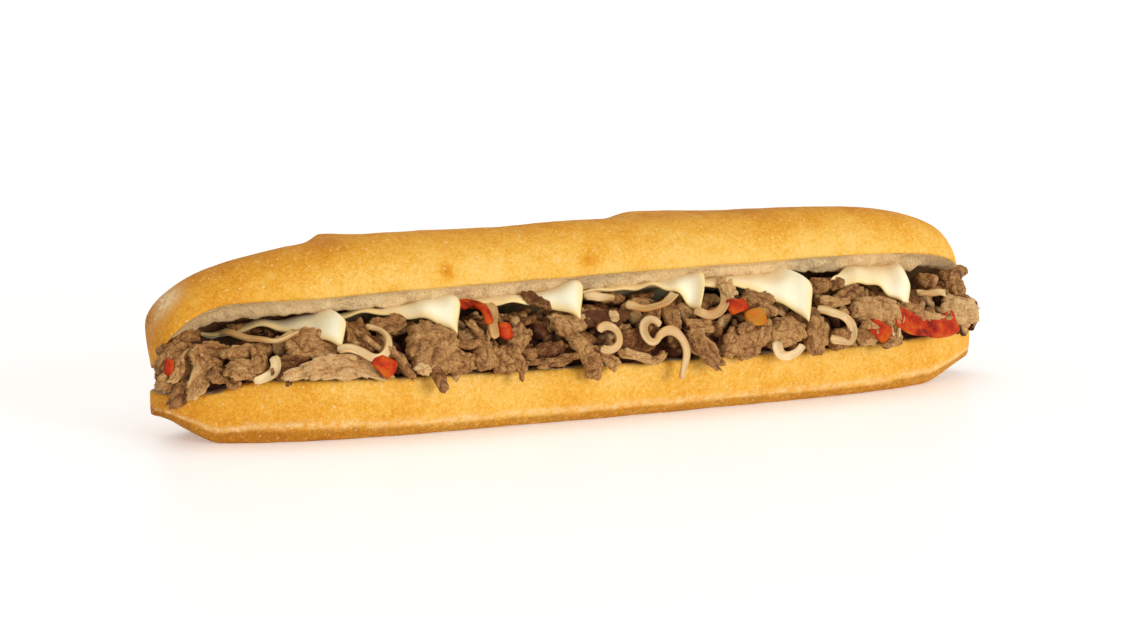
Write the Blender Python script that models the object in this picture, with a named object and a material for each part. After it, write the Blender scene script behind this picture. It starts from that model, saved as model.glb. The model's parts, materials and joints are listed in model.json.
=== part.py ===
"""A cheesesteak: a long roll split from the front and hinged along its back, opened over a heap of
chopped beef with onion and red pepper strips in it, and a shingled row of cheese triangles whose
corners hang out at the front.

Metres, +Z up. The roll lies along X on the plane Z = 0, its open side faces -Y, and the origin is the
middle of the flat base."""

import math
import random

import bmesh
import bpy
from mathutils import Vector, noise

# The roll
ROLL_LENGTH = 0.314
ROLL_WIDTH = 0.064
BARREL = 0.145
CUT_HEIGHT = 0.0186
CUT_FALL = 0.011
CUT_SAG = 0.0011
OPENING_DEG = 30.3
OPENING_TWIST_DEG = 27.0
OPENING_DROOP_DEG = -4.6
DROOP_START = 0.100
DOME_HEIGHT = 0.0283
END_ROUND = 0.086
NOSE_LEFT = (0.088, 2.0)
NOSE_RIGHT = (0.075, 2.6)
END_LIFTS = ((0.138, 0.0088), (0.125, 0.0065))
UPPER_SHORTER = 0.0045
UPPER_ENDS = ((0.0, 0.080, 2.2), (UPPER_SHORTER, 0.066, 2.6))
END_DIP = 0.0052
NOSE_DROP = 0.0180
NOSE_START = 0.021
HINGE_INSET = 0.003
CRUST_RELIEF = 0.0007
SCORES = ((-0.0940, 0.0040, 0.006, 0.017), (-0.056, 0.0016, 0.005, 0.007), (0.018, 0.0062, 0.020, 0.080))
SCORE_SLANT = 0.55
STATIONS = 14
DOME_STEPS = 13

# Outlines across the roll, as shares of its half width and of the lower half's height
LOWER_SIDE = (
    (0.86, 0.0), (0.925, 0.10), (0.945, 0.20), (0.985, 0.30), (1.0, 0.52), (0.998, 0.78), (0.985, 1.0)
)
BASE_ACROSS = (-0.45, 0.0, 0.45)
CUT_ACROSS = (0.6, 0.2, -0.2, -0.6)

# The filling
GAP = 0.0004
HEAP_DEPTH = 0.0140
HEAP_OVERHANG = 0.0010
CHEESE_ROOM = 0.0062
HEAP_SHIFT = 0.004
HEAP_LEFT = -0.149
FLAKES = 84
FLAKE_CORNERS = 6
FLAKE_SIZE = (0.0090, 0.0064, 0.0034)
FLAKE_REACH = (0.0028, 0.0240)
HEAP_TRIANGLES = 8400
SEED = 11

# A quick solver for closed bodies, which suits the heap's many flakes
SOLVER = "MANIFOLD"

# Colours
CRUST_COLOUR = (0.80, 0.42, 0.10)
BEEF_COLOUR = (0.32, 0.17, 0.09)
CHEESE_COLOUR = (0.92, 0.82, 0.55)
ONION_COLOUR = (0.75, 0.52, 0.27)
PEPPER_COLOUR = (0.52, 0.035, 0.008)

# The cheese; each slice's tip along the roll and up the heap, and how far its left side climbs
CHEESE_LEG = 0.054
CHEESE_END_TRIM = 0.35
CHEESE_THICK = 0.0016
CHEESE_LEAN_DEG = 28.0
CHEESE_SHINGLE = 0.055
CHEESE_WAVE = 0.0008
CHEESE_FOLD = 2.0
CHEESE_CELLS = 8
CHEESE_TIPS = (
    (-0.1027, 0.0092, 0.0135), (-0.0641, 0.0115, 0.0120), (-0.0192, 0.0138, 0.0085),
    (0.0275, 0.0154, 0.0125), (0.0678, 0.0088, 0.0165), (0.1137, 0.0103, 0.0110),
)

# The strips: where each starts on the heap, its heading in degrees, its length and its even bends in
# degrees; and the width of each pepper strip
ONION_SIZE = (0.0030, 0.0017)
PEPPER_THICK = 0.0022
STRIP_OUT = 0.0034
ONIONS = (
    (-0.1350, 0.0180, -55, 0.0235, (25, 38, 30)),
    (-0.1245, 0.0065, -48, 0.0110, (-107, -24)),
    (-0.1043, 0.0077, 21, 0.0275, (-54, 106, 123)),
    (-0.0492, 0.0211, -57, 0.0128, (-64, 31)),
    (-0.0140, 0.0097, 37, 0.0176, (-57, -125, -58)),
    (-0.0141, 0.0208, 6, 0.0108, (-26,)),
    (-0.0009, 0.0167, -24, 0.0216, (63,)),
    (0.0093, 0.0096, 109, 0.0372, (132, 160, -68, -76, -7)),
    (0.0240, 0.0137, -39, 0.0293, (61, 62, -58)),
    (0.0541, 0.0039, -115, 0.0136, (95, 35, 26)),
    (0.0720, 0.0112, -9, 0.0270, (-3, -30, -140, -5)),
    (0.1063, 0.0099, -45, 0.0091, (-95, 74)),
    (0.1190, 0.0136, -3, 0.0159, (0,)),
)
PEPPERS = (
    (-0.0936, 0.0057, -28, 0.0077, (2,), 0.0060),
    (-0.0573, 0.0195, 111, 0.0161, (-177, -38), 0.0036),
    (0.0368, 0.0135, 7, 0.0085, (0,), 0.0056),
    (0.0929, 0.0063, -25, 0.0095, (0,), 0.0064),
    (0.1050, 0.0080, -27, 0.0309, (40,), 0.0080),
    (-0.1559, 0.0014, 66, 0.0038, (0,), 0.0030),
    (-0.0495, 0.0110, 0, 0.0052, (0,), 0.0050),
    (0.0450, 0.0265, 80, 0.0062, (0,), 0.0050),
    (0.0425, 0.0100, 5, 0.0088, (0,), 0.0056),
)

SIDE = ROLL_LENGTH / 2
HALF_WIDTH = ROLL_WIDTH / 2
HINGE_Y = HALF_WIDTH - HINGE_INSET



def smooth(t):
    """0 below 0, 1 above 1, and a smooth step between them."""
    t = min(max(t, 0.0), 1.0)
    return t * t * (3 - 2 * t)


def rounded_end(x, reach, power=2.0):
    """1 along the middle of the roll, falling to 0 over the last stretch of this reach before a tip."""
    into = max(0.0, abs(x) - (SIDE - reach)) / reach
    return max(0.0, 1 - into ** power) ** (1 / power)


def plan_half_width(x):
    """Half the roll's width at x: a slight barrel with rounded ends."""
    return HALF_WIDTH * (1 - BARREL * (x / SIDE) ** 2) * rounded_end(x, END_ROUND)


def dome_height(x):
    """Thickness of the upper half over its cut face: a long nose on the left, a blunt one on the right."""
    return DOME_HEIGHT * rounded_end(x, *(NOSE_LEFT if x < 0 else NOSE_RIGHT))


def droop(x):
    """0 to 1 over the left end, where the roll sags."""
    return smooth((-x - DROOP_START) / (SIDE - DROOP_START))


def cut_height(x):
    """Height of the knife cut: it runs a little down to the right and sags in the middle."""
    return CUT_HEIGHT - CUT_FALL * x + CUT_SAG * (x / SIDE) ** 2


def opening(x):
    """How far the upper half is turned up about the hinge, in radians: the right end gapes wider."""
    return math.radians(OPENING_DEG + OPENING_TWIST_DEG * x - OPENING_DROOP_DEG * droop(x))


def base_lift(x):
    """The ends of the roll rise clear of the table."""
    start, lift = END_LIFTS[x > 0]
    return lift * smooth((abs(x) - start) / (SIDE - start))


def rim_height(x):
    """Height of the lower half's rim: it follows the cut, and dips at the left end."""
    return cut_height(x) - END_DIP * smooth((-x - 0.126) / 0.022)


def upper_half_width(x):
    """Half the width of the upper half, whose ends are blunter than the lower half's."""
    short, reach, power = UPPER_ENDS[x > 0]
    into = min(max(0.0, abs(x) - (SIDE - short - reach)) / reach, 1.0)
    return HALF_WIDTH * (1 - BARREL * (x / SIDE) ** 2) * (1 - into ** power) ** (1 / power)


def nose_drop(x, y):
    """How far the crust of the left end reaches down past the cut, more so as the upper half narrows."""
    onset = max(0.0, 1 - upper_half_width(x) / NOSE_START) ** 1.3 if x < 0 else 0.0
    return NOSE_DROP * onset * min(max((HINGE_Y - y) / HINGE_Y, 0.0), 1.0)


def opened(x, y, z):
    """Where a point of the closed upper half, its z counted from the cut, lies once the roll is opened."""
    turn = opening(x)
    back = HINGE_Y - y
    return (
        x,
        HINGE_Y - back * math.cos(turn) + z * math.sin(turn),
        cut_height(x) + back * math.sin(turn) + z * math.cos(turn),
    )


def score_relief(x, y):
    """Low ridges left by the slanting cuts that the baker makes in the top."""
    height = 0.0
    for start, rise, step, fade in SCORES:
        past = x - start - SCORE_SLANT * y
        height += rise * smooth(past / step + 0.5) * math.exp(-(max(past, 0.0) / fade) ** 2)
    return height


def unevenness(x, y, z, size=0.035):
    """How far the crust swells or sinks at a point."""
    return noise.noise(Vector((x, y, z)) / size) * CRUST_RELIEF


def lower_section(x):
    """Outline of the lower half at x, from the base's middle forward, over the rim and round the back."""
    half = plan_half_width(x)
    low = base_lift(x)
    rim = rim_height(x) - low
    front = [(-half * out, low + rim * up) for out, up in LOWER_SIDE]
    back = [(half * out, low + rim * up) for out, up in reversed(LOWER_SIDE)]
    base = [(half * out, low) for out in reversed(BASE_ACROSS)]
    cut = [(-half * out, rim_height(x)) for out in CUT_ACROSS]
    swell = []
    for y, z in base + front + cut + back:
        on_side = smooth((z - low) / 0.006) * smooth((rim_height(x) - z) / 0.004)
        grow = 1 + on_side * unevenness(x, y, z) / HALF_WIDTH
        swell.append((x, y * grow, z))
    return swell


def upper_section(x):
    """Outline of the upper half at x: the cut face from front to back, then the dome forward again."""
    half = upper_half_width(x)
    dome = dome_height(x)
    tuck = math.radians(14)
    points = [(-half * out * 0.95, 0.0) for out in (1.0, 0.5, 0.0, -0.5, -1.0)]
    for step in range(1, DOME_STEPS):
        angle = -tuck + (math.pi + 2 * tuck) * step / DOME_STEPS
        across = math.copysign(abs(math.cos(angle)) ** 0.9, math.cos(angle))
        up = (math.sin(angle) + math.sin(tuck)) / (1 + math.sin(tuck))
        points.append((half * across, dome * max(up, 0.0) ** 0.92))
    outline = []
    for y, z in points:
        share = smooth(z / 0.010)
        lift = share * (unevenness(x, y, z + 0.2) + score_relief(x, y) * smooth((y + 0.02) / 0.02))
        outline.append(opened(x, y, z + lift - nose_drop(x, y) * (1 - min(z / max(dome, 0.001), 1.0))))
    return outline


def loft(name, section, side, stations=STATIONS, shift=0.0):
    """A closed mesh through sections that bunch up towards two pointed tips."""
    mesh = bmesh.new()
    rings = []
    for k in range(1 - stations, stations):
        x = shift + side * math.sin(math.pi / 2 * k / stations)
        rings.append([mesh.verts.new(p) for p in section(x)])
    for ring, following in zip(rings, rings[1:]):
        for i, vertex in enumerate(ring):
            j = (i + 1) % len(ring)
            mesh.faces.new((vertex, following[i], following[j], ring[j]))
    for ring, x in ((rings[0], shift - side), (rings[-1], shift + side)):
        middle = sum((v.co for v in ring), Vector()) / len(ring)
        tip = mesh.verts.new((x, middle.y, middle.z))
        for i, vertex in enumerate(ring):
            mesh.faces.new((tip, vertex, ring[(i + 1) % len(ring)]))
    bmesh.ops.recalc_face_normals(mesh, faces=mesh.faces)
    return add_object(name, mesh)


def add_object(name, mesh, collection=None):
    """Turns a bmesh into an object."""
    data = bpy.data.meshes.new(name)
    mesh.to_mesh(data)
    mesh.free()
    made = bpy.data.objects.new(name, data)
    (collection or bpy.context.scene.collection).objects.link(made)
    return made


def inflated(source, by):
    """A copy of an object with every point moved outward, to cut room for it out of its neighbours."""
    mesh = bmesh.new()
    mesh.from_mesh(source.data)
    bmesh.ops.recalc_face_normals(mesh, faces=mesh.faces)
    mesh.normal_update()
    moved = [v.co + v.normal * by for v in mesh.verts]
    for vertex, place in zip(mesh.verts, moved):
        vertex.co = place
    return add_object(source.name + "_room", mesh)


def boolean(target, cutters, operation):
    """Joins the cutters to the target or takes them out of it, and removes them."""
    group = bpy.data.collections.new(target.name + "_cutters")
    bpy.context.scene.collection.children.link(group)
    for cutter in cutters:
        bpy.context.scene.collection.objects.unlink(cutter)
        group.objects.link(cutter)
    step = target.modifiers.new("boolean", "BOOLEAN")
    step.operation = operation
    step.solver = SOLVER
    step.operand_type = "COLLECTION"
    step.collection = group
    result = bpy.data.meshes.new_from_object(target.evaluated_get(bpy.context.evaluated_depsgraph_get()))
    target.modifiers.clear()
    target.data = result
    for cutter in list(group.objects):
        bpy.data.objects.remove(cutter)
    bpy.data.collections.remove(group)
    keep_largest(target)


def keep_largest(target):
    """Welds the mesh and drops every loose scrap but its largest piece."""
    mesh = bmesh.new()
    mesh.from_mesh(target.data)
    bmesh.ops.remove_doubles(mesh, verts=mesh.verts, dist=0.000004)
    bmesh.ops.dissolve_degenerate(mesh, edges=mesh.edges, dist=0.000004)
    mesh.verts.ensure_lookup_table()
    left = set(mesh.verts)
    best = set()
    while left:
        start = left.pop()
        island, edge = {start}, [start]
        while edge:
            for link in edge.pop().link_edges:
                for vertex in link.verts:
                    if vertex not in island:
                        island.add(vertex)
                        edge.append(vertex)
        left -= island
        if len(island) > len(best):
            best = island
    bmesh.ops.delete(mesh, geom=[v for v in mesh.verts if v not in best], context="VERTS")
    bmesh.ops.triangulate(mesh, faces=[f for f in mesh.faces if len(f.verts) > 4])
    mesh.to_mesh(target.data)
    mesh.free()


def lighten(target, triangles):
    """Collapses the shortest and flattest edges until the mesh has this many triangles."""
    now = sum(len(face.vertices) - 2 for face in target.data.polygons)
    step = target.modifiers.new("lighten", "DECIMATE")
    step.ratio = min(1.0, triangles / now)
    graph = bpy.context.evaluated_depsgraph_get()
    target.data = bpy.data.meshes.new_from_object(target.evaluated_get(graph))
    target.modifiers.clear()
    keep_largest(target)


def heap_half(x):
    """Half the heap's width at x: it follows the roll, and pokes a little out of its right end."""
    return plan_half_width(x - HEAP_SHIFT)


def heap_shape(x):
    """Centre, depth and height of the rounded front of the heap at x, which tucks under the upper half."""
    turn = opening(x)
    half = heap_half(x)
    depth = min(HEAP_DEPTH, half * 0.8)
    centre = -half - HEAP_OVERHANG + depth
    reach = (HINGE_Y - centre) * math.sin(turn) - CHEESE_ROOM
    height = math.sqrt(max(reach ** 2 - (depth * math.sin(turn)) ** 2, 1e-6)) / math.cos(turn)
    return centre, depth, height


def over_heap(x, along, out=0.0):
    """A point `along` the heap from its rim, up the front, over the top and back along the upper half's
    cut face, and `out` from its surface; with the surface's normal there."""
    centre, depth, height = heap_shape(max(x, HEAP_LEFT))
    turn = opening(x)
    quarter = (depth + height) * 0.785
    last = math.pi / 2 + math.atan2(depth * math.sin(turn), height * math.cos(turn))
    angle = along / quarter * math.pi / 2
    bend = min(max(angle, 0.0), last)
    y, z = centre - depth * math.cos(bend), cut_height(x) + height * math.sin(bend)
    normal = Vector((0, -math.cos(bend) / depth, math.sin(bend) / height)).normalized()
    if angle < 0:
        return Vector((x, y - out, z + along)), Vector((0, -1, 0))
    if angle > last:
        inside = (angle - last) * quarter / (math.pi / 2)
        y, z = y + inside * math.cos(turn), z - inside * math.sin(turn)
    return Vector((x, y, z)) + normal * out, normal


def heap_section(x):
    """Outline of the heap's core at x: its bottom on the lower half, then the front and the top."""
    half = heap_half(x)
    low = rim_height(x) + 2 * GAP
    back = min(HINGE_Y - 0.009, half * 0.9)
    centre, depth, height = heap_shape(x)
    height += cut_height(x) - rim_height(x)
    points = [(x, back + (centre - depth - back) * part / 3, low) for part in range(3)]
    turn = opening(x)
    last = math.pi / 2 + math.atan2(depth * math.sin(turn), height * math.cos(turn))
    for step in range(7):
        angle = 0.12 + (last - 0.12) * step / 6
        points.append((x, centre - depth * math.cos(angle), low + (height - GAP) * math.sin(angle)))
    top = points[-1]
    fall = max(back - top[1], 0.001)
    for part in (0.5, 1.0):
        z = max(top[2] - fall * part * math.tan(turn), low + 0.0012)
        points.append((x, top[1] + fall * part, z))
    return points


def flake(rng, name, share, tier):
    """One curled, craggy plate of chopped beef fused onto the heap."""
    x = HEAP_SHIFT + (SIDE - 0.007) * (2 * share - 1) + rng.uniform(-0.004, 0.004)
    along = FLAKE_REACH[0] + (FLAKE_REACH[1] - FLAKE_REACH[0]) * tier
    place, normal = over_heap(x, along, rng.uniform(0.0, 0.0012))
    long, wide, thick = (edge * rng.uniform(0.75, 1.3) for edge in FLAKE_SIZE)
    curl = rng.uniform(-0.4, 0.4) / long
    lean = Vector((rng.uniform(-0.6, 0.6), rng.uniform(-0.4, 0.4), rng.uniform(-0.6, 0.6)))
    up = (normal + lean).normalized()
    turn = rng.uniform(0, math.pi)
    across = up.cross(Vector((math.cos(turn), 0.2, math.sin(turn)))).normalized()
    ahead = across.cross(up)
    mesh = bmesh.new()
    crags = [rng.uniform(0.68, 1.18) for _ in range(FLAKE_CORNERS)]
    faces = []
    for side in (1, -1):
        outline = []
        for k, crag in enumerate(crags):
            angle = 2 * math.pi * k / FLAKE_CORNERS
            u, v = math.cos(angle) * long * crag, math.sin(angle) * wide * crag
            w = curl * u * u + side * thick * 0.3 + rng.uniform(-0.3, 0.3) * thick
            outline.append(mesh.verts.new(place + ahead * u + across * v + up * w))
        middle = mesh.verts.new(place + up * side * thick * 0.6)
        for k in range(FLAKE_CORNERS):
            mesh.faces.new((middle, outline[k], outline[(k + 1) % FLAKE_CORNERS]))
        faces.append(outline)
    for k in range(FLAKE_CORNERS):
        j = (k + 1) % FLAKE_CORNERS
        mesh.faces.new((faces[0][k], faces[1][k], faces[1][j]))
        mesh.faces.new((faces[0][k], faces[1][j], faces[0][j]))
    bmesh.ops.recalc_face_normals(mesh, faces=mesh.faces)
    return add_object(name, mesh)


def add_heap(rooms):
    """The heap of chopped beef: its core with the flakes fused on, and room cut out for everything else."""
    rng = random.Random(SEED)
    heap = loft("beef", heap_section, SIDE - 0.001, 12, HEAP_SHIFT)
    plates = [flake(rng, "flake_%d" % k, (k + 0.5) / FLAKES, k * 0.618 % 1) for k in range(FLAKES)]
    boolean(heap, plates, "UNION")
    boolean(heap, rooms, "DIFFERENCE")
    lighten(heap, HEAP_TRIANGLES)
    return heap


def cheese_point(x, along, tip_x, side):
    """A point of a cheese slice that drapes over the heap; the slices lie on each other like roof tiles."""
    wave = CHEESE_WAVE * math.sin(x * 330 + along * 120)
    out = CHEESE_ROOM * 0.57 + CHEESE_SHINGLE * (x - tip_x) + wave * smooth((0.030 - along) / 0.012)
    return over_heap(x, along, out + side * CHEESE_THICK / 2)[0]


def add_cheese(name, tip_x, tip_along, rise):
    """A triangle of sliced cheese, its corner hanging out over the front, smaller near the roll's ends. Its
    left side climbs away from the tip and then hangs level."""
    lean = math.radians(CHEESE_LEAN_DEG)
    leg = CHEESE_LEG * (1 - CHEESE_END_TRIM * smooth((abs(tip_x) - 0.085) / 0.030))
    left = (-math.cos(lean) * leg, math.sin(lean) * leg)
    right = (math.sin(lean) * leg, math.cos(lean) * leg)
    mesh = bmesh.new()
    faces = []
    for side in (1, -1):
        grid = {}
        for i in range(CHEESE_CELLS + 1):
            for j in range(CHEESE_CELLS + 1 - i):
                a, b = i / CHEESE_CELLS, j / CHEESE_CELLS
                x = tip_x + left[0] * a + right[0] * b
                along = tip_along + rise * (1 - math.exp(-CHEESE_FOLD * left[1] * a / rise)) + right[1] * b
                grid[i, j] = mesh.verts.new(cheese_point(x, along, tip_x, side))
        faces.append(grid)
        for i in range(CHEESE_CELLS):
            for j in range(CHEESE_CELLS - i):
                mesh.faces.new((grid[i, j], grid[i + 1, j], grid[i, j + 1]))
                if j + i + 1 < CHEESE_CELLS:
                    mesh.faces.new((grid[i + 1, j], grid[i + 1, j + 1], grid[i, j + 1]))
    n = CHEESE_CELLS
    border = [(k, 0) for k in range(n)] + [(n - k, k) for k in range(n)] + [(0, n - k) for k in range(n)]
    for here, there in zip(border, border[1:] + border[:1]):
        mesh.faces.new((faces[0][here], faces[0][there], faces[1][there], faces[1][here]))
    bmesh.ops.recalc_face_normals(mesh, faces=mesh.faces)
    return add_object(name, mesh)


def add_strip(name, shape, size):
    """A strip of onion or pepper along the heap's front; it turns by each bend over an equal stretch."""
    x, along, heading, length, bends = shape[:5]
    steps = max(5, int(length / 0.0024))
    angle = math.radians(heading)
    path = []
    for k in range(steps + 1):
        path.append(over_heap(x, along, STRIP_OUT + 0.0003 * math.sin(k * 1.7)))
        bend = bends[min(int(k / steps * len(bends)), len(bends) - 1)]
        angle += math.radians(bend) * len(bends) / steps
        x += math.cos(angle) * length / steps
        along += math.sin(angle) * length / steps
    return sweep(name, path, size)


def sweep(name, path, size, sides=6):
    """A closed strip through places that each come with the direction its flat side faces."""
    mesh = bmesh.new()
    rings = []
    for k, (place, normal) in enumerate(path):
        ahead = path[min(k + 1, len(path) - 1)][0] - path[max(k - 1, 0)][0]
        across = ahead.cross(normal).normalized()
        end = min(1.0, 0.55 + 0.25 * min(k, len(path) - 1 - k))
        ring = []
        for i in range(sides):
            turn = 2 * math.pi * i / sides
            ring.append(mesh.verts.new(place + across * (math.cos(turn) * size[0] / 2 * end)
                                       + normal * (math.sin(turn) * size[1] / 2 * end)))
        rings.append(ring)
    for ring, following in zip(rings, rings[1:]):
        for i in range(sides):
            j = (i + 1) % sides
            mesh.faces.new((ring[i], following[i], following[j], ring[j]))
    mesh.faces.new(rings[0])
    mesh.faces.new(rings[-1])
    bmesh.ops.recalc_face_normals(mesh, faces=mesh.faces)
    return add_object(name, mesh)


def add_strips(rooms):
    """Every strip, cleared of the roll, the cheese and the strips before it."""
    made = []
    shapes = [("onion_%d" % (k + 1), shape, ONION_SIZE) for k, shape in enumerate(ONIONS)]
    shapes += [("pepper_%d" % (k + 1), shape, (shape[5], PEPPER_THICK)) for k, shape in enumerate(PEPPERS)]
    for name, shape, size in shapes:
        strip = add_strip(name, shape, size)
        boolean(strip, [inflated(piece, GAP) for piece in rooms + made], "DIFFERENCE")
        made.append(strip)
    return made


def finish(piece, colour, roughness):
    """Gives a piece its own material and smooth shading."""
    material = bpy.data.materials.new(piece.name + "_surface")
    material.use_nodes = True
    shader = material.node_tree.nodes["Principled BSDF"]
    shader.inputs["Base Color"].default_value = (*colour, 1)
    shader.inputs["Roughness"].default_value = roughness
    material.diffuse_color = (*colour, 1)
    piece.data.materials.clear()
    piece.data.materials.append(material)
    piece.data.shade_smooth()


def main():
    """Builds the roll, the cheese and the strips, then the beef around them."""
    for old in list(bpy.data.objects):
        bpy.data.objects.remove(old)
    roll = loft("roll", lower_section, SIDE)
    half = UPPER_SHORTER / 2
    boolean(roll, [loft("roll_upper", upper_section, SIDE - half, shift=-half)], "UNION")
    slices = [add_cheese("cheese_%d" % (k + 1), *tip) for k, tip in enumerate(CHEESE_TIPS)]
    strips = add_strips([roll] + slices)
    beef = add_heap([inflated(piece, GAP) for piece in [roll] + slices + strips])
    finish(roll, CRUST_COLOUR, 0.55)
    finish(beef, BEEF_COLOUR, 0.6)
    for piece in slices:
        finish(piece, CHEESE_COLOUR, 0.4)
    for piece in strips:
        finish(piece, PEPPER_COLOUR if "pepper" in piece.name else ONION_COLOUR, 0.35)


main()
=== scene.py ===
"""A cheesesteak: a long golden roll opened over chopped beef, onion and red pepper strips and sliced cheese."""

import json
import math
import random

import bmesh
import bpy
import numpy as np
from mathutils import Matrix, Vector, noise

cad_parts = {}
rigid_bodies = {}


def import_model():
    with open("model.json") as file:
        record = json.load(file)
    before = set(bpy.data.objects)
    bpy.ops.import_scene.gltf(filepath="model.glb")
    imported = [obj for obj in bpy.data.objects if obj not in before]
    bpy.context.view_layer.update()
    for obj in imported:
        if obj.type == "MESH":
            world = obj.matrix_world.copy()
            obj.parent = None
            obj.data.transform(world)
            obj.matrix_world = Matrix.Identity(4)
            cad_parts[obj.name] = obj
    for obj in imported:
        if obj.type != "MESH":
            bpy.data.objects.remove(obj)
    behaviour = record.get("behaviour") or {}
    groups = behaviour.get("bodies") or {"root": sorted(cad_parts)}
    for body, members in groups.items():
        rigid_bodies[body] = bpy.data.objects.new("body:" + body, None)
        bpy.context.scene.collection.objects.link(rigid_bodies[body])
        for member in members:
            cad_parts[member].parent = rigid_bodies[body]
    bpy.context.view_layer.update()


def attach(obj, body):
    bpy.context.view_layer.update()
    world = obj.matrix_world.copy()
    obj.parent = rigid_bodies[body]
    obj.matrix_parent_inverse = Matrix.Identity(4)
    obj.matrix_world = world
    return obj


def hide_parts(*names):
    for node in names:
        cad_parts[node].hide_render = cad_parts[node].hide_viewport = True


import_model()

# The roll, with the sizes of the CAD solid
ROLL_LENGTH = 0.314
ROLL_WIDTH = 0.064
BARREL = 0.145
CUT_HEIGHT = 0.0186
CUT_FALL = 0.011
CUT_SAG = 0.0011
OPENING_DEG = 30.3
OPENING_TWIST_DEG = 27.0
OPENING_DROOP_DEG = -4.6
DROOP_START = 0.100
DOME_HEIGHT = 0.0283
END_ROUND = 0.086
NOSE_LEFT = (0.088, 2.0)
NOSE_RIGHT = (0.075, 2.6)
END_LIFTS = ((0.138, 0.0088), (0.125, 0.0065))
UPPER_SHORTER = 0.0045
UPPER_ENDS = ((0.0, 0.080, 2.2), (UPPER_SHORTER, 0.066, 2.6))
END_DIP = 0.0052
END_DIP_START = 0.126
END_DIP_SPAN = 0.022
NOSE_DROP = 0.0180
NOSE_START = 0.021
HINGE_INSET = 0.003
UPPER_FLAT = 0.95
UPPER_TUCK_DEG = 14
CRUST_RELIEF = 0.0007
BROAD_NOISE, MIDDLE_NOISE, FINE_NOISE = 0.018, 0.0065, 0.0016
CRUMB_EDGE = 0.0082
CRUMB_SWELL = 0.0024
SCORES = ((-0.0940, 0.0040, 0.006, 0.017), (-0.056, 0.0016, 0.005, 0.007), (0.018, 0.0062, 0.020, 0.080))
SCORE_SLANT = 0.55
LOWER_SIDE = ((0.86, 0.0), (0.925, 0.10), (0.945, 0.20), (0.985, 0.30), (1.0, 0.52), (0.998, 0.78), (0.985, 1.0))

# What is stored for each point of the roll, for the materials to read
SHADES = ("bake_and_shade", "base_band", "ledge", "pore_and_end_shade", "crumb", "dusted", "shade_behind_edge")
# A dusty spot and brown blotches on the upper crust: where along the roll, how far above the cut, how wide, how strong
DUSTED = (-0.1512, 0.0125, 0.0040, 1.1)
BLOTCHES = (
    (-0.0625, 0.0045, 0.0028, 0.60), (-0.0110, 0.0045, 0.0032, 0.50), (-0.0065, 0.0085, 0.0050, 0.22),
    (0.060, 0.019, 0.0100, 0.20), (0.085, 0.014, 0.0070, 0.14), (-0.100, 0.018, 0.0090, 0.14),
)

# The filling
QUARTER_ROUND = 0.785
HEAP_DEPTH = 0.0140
HEAP_OVERHANG = 0.0010
CHEESE_ROOM = 0.0062
HEAP_SHIFT = 0.004
HEAP_LEFT = -0.149
SHEET_INSET = 0.006
CORE_MIDDLE = 0.0060
CORE_REACH = 0.1510
CORE_DEPTH = 0.0045
CORE_LEFT_FACE = -0.1435
OPEN_END_START = 0.108
OPEN_END_SPAN = 0.014
CHEESE_LEG = 0.054
CHEESE_END_TRIM = 0.35
CHEESE_TRIM_START = 0.085
CHEESE_TRIM_SPAN = 0.030
CHEESE_THICK = 0.0016
CHEESE_LEAN_DEG = 28.0
CHEESE_SHINGLE = 0.055
CHEESE_FOLD = 2.0
# Where the front tip of each slice lies (x, along)
CHEESE_TIPS = (
    (-0.1027, 0.0092), (-0.0641, 0.0115), (-0.0192, 0.0138), (0.0275, 0.0154), (0.0678, 0.0088), (0.1137, 0.0103)
)
# How each slice falls: how far its left side climbs before it hangs level, how far its front corners lift, its hollow,
# its ripples and how far its right edge draws in
CHEESE_FORMS = (
    (0.0135, 0.0016, 0.0000, 0.0007, 0.0085), (0.0120, 0.0014, 0.0000, 0.0007, 0.0085),
    (0.0085, 0.0024, 0.0004, 0.0006, 0.0085), (0.0125, 0.0006, 0.0000, 0.0021, 0.0060),
    (0.0165, 0.0006, 0.0026, 0.0006, 0.0085), (0.0110, 0.0008, 0.0006, 0.0012, 0.0020),
)
STRIP_OUT = 0.0048
ONION_SIZE = (0.0031, 0.0013)
PEPPER_THICK = 0.0020
# Strips: place (x, along), heading, length and bends, then how amber an onion strip is or how wide a pepper strip is
ONIONS = (
    (-0.1350, 0.0180, -55, 0.0235, (25, 38, 30), 0.2),
    (-0.1245, 0.0065, -48, 0.0110, (-107, -24), -0.1),
    (-0.1043, 0.0077, 21, 0.0275, (-54, 106, 123), 0.12),
    (-0.0492, 0.0211, -57, 0.0128, (-64, 31), 0.5),
    (-0.0140, 0.0097, 37, 0.0176, (-57, -125, -58), 0.35),
    (-0.0141, 0.0208, 6, 0.0108, (-26,), 0.2),
    (-0.0009, 0.0167, -24, 0.0216, (63,), 0.45),
    (0.0093, 0.0096, 109, 0.0372, (132, 160, -68, -76, -7), 0.25),
    (0.0240, 0.0137, -39, 0.0293, (61, 62, -58), 0.5),
    (0.0541, 0.0039, -115, 0.0136, (95, 35, 26), -0.1),
    (0.0720, 0.0112, -9, 0.0270, (-3, -30, -140, -5), 0.2),
    (0.1063, 0.0099, -45, 0.0091, (-95, 74), -0.15),
    (0.1190, 0.0136, -3, 0.0159, (0,), 0.3),
)
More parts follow.
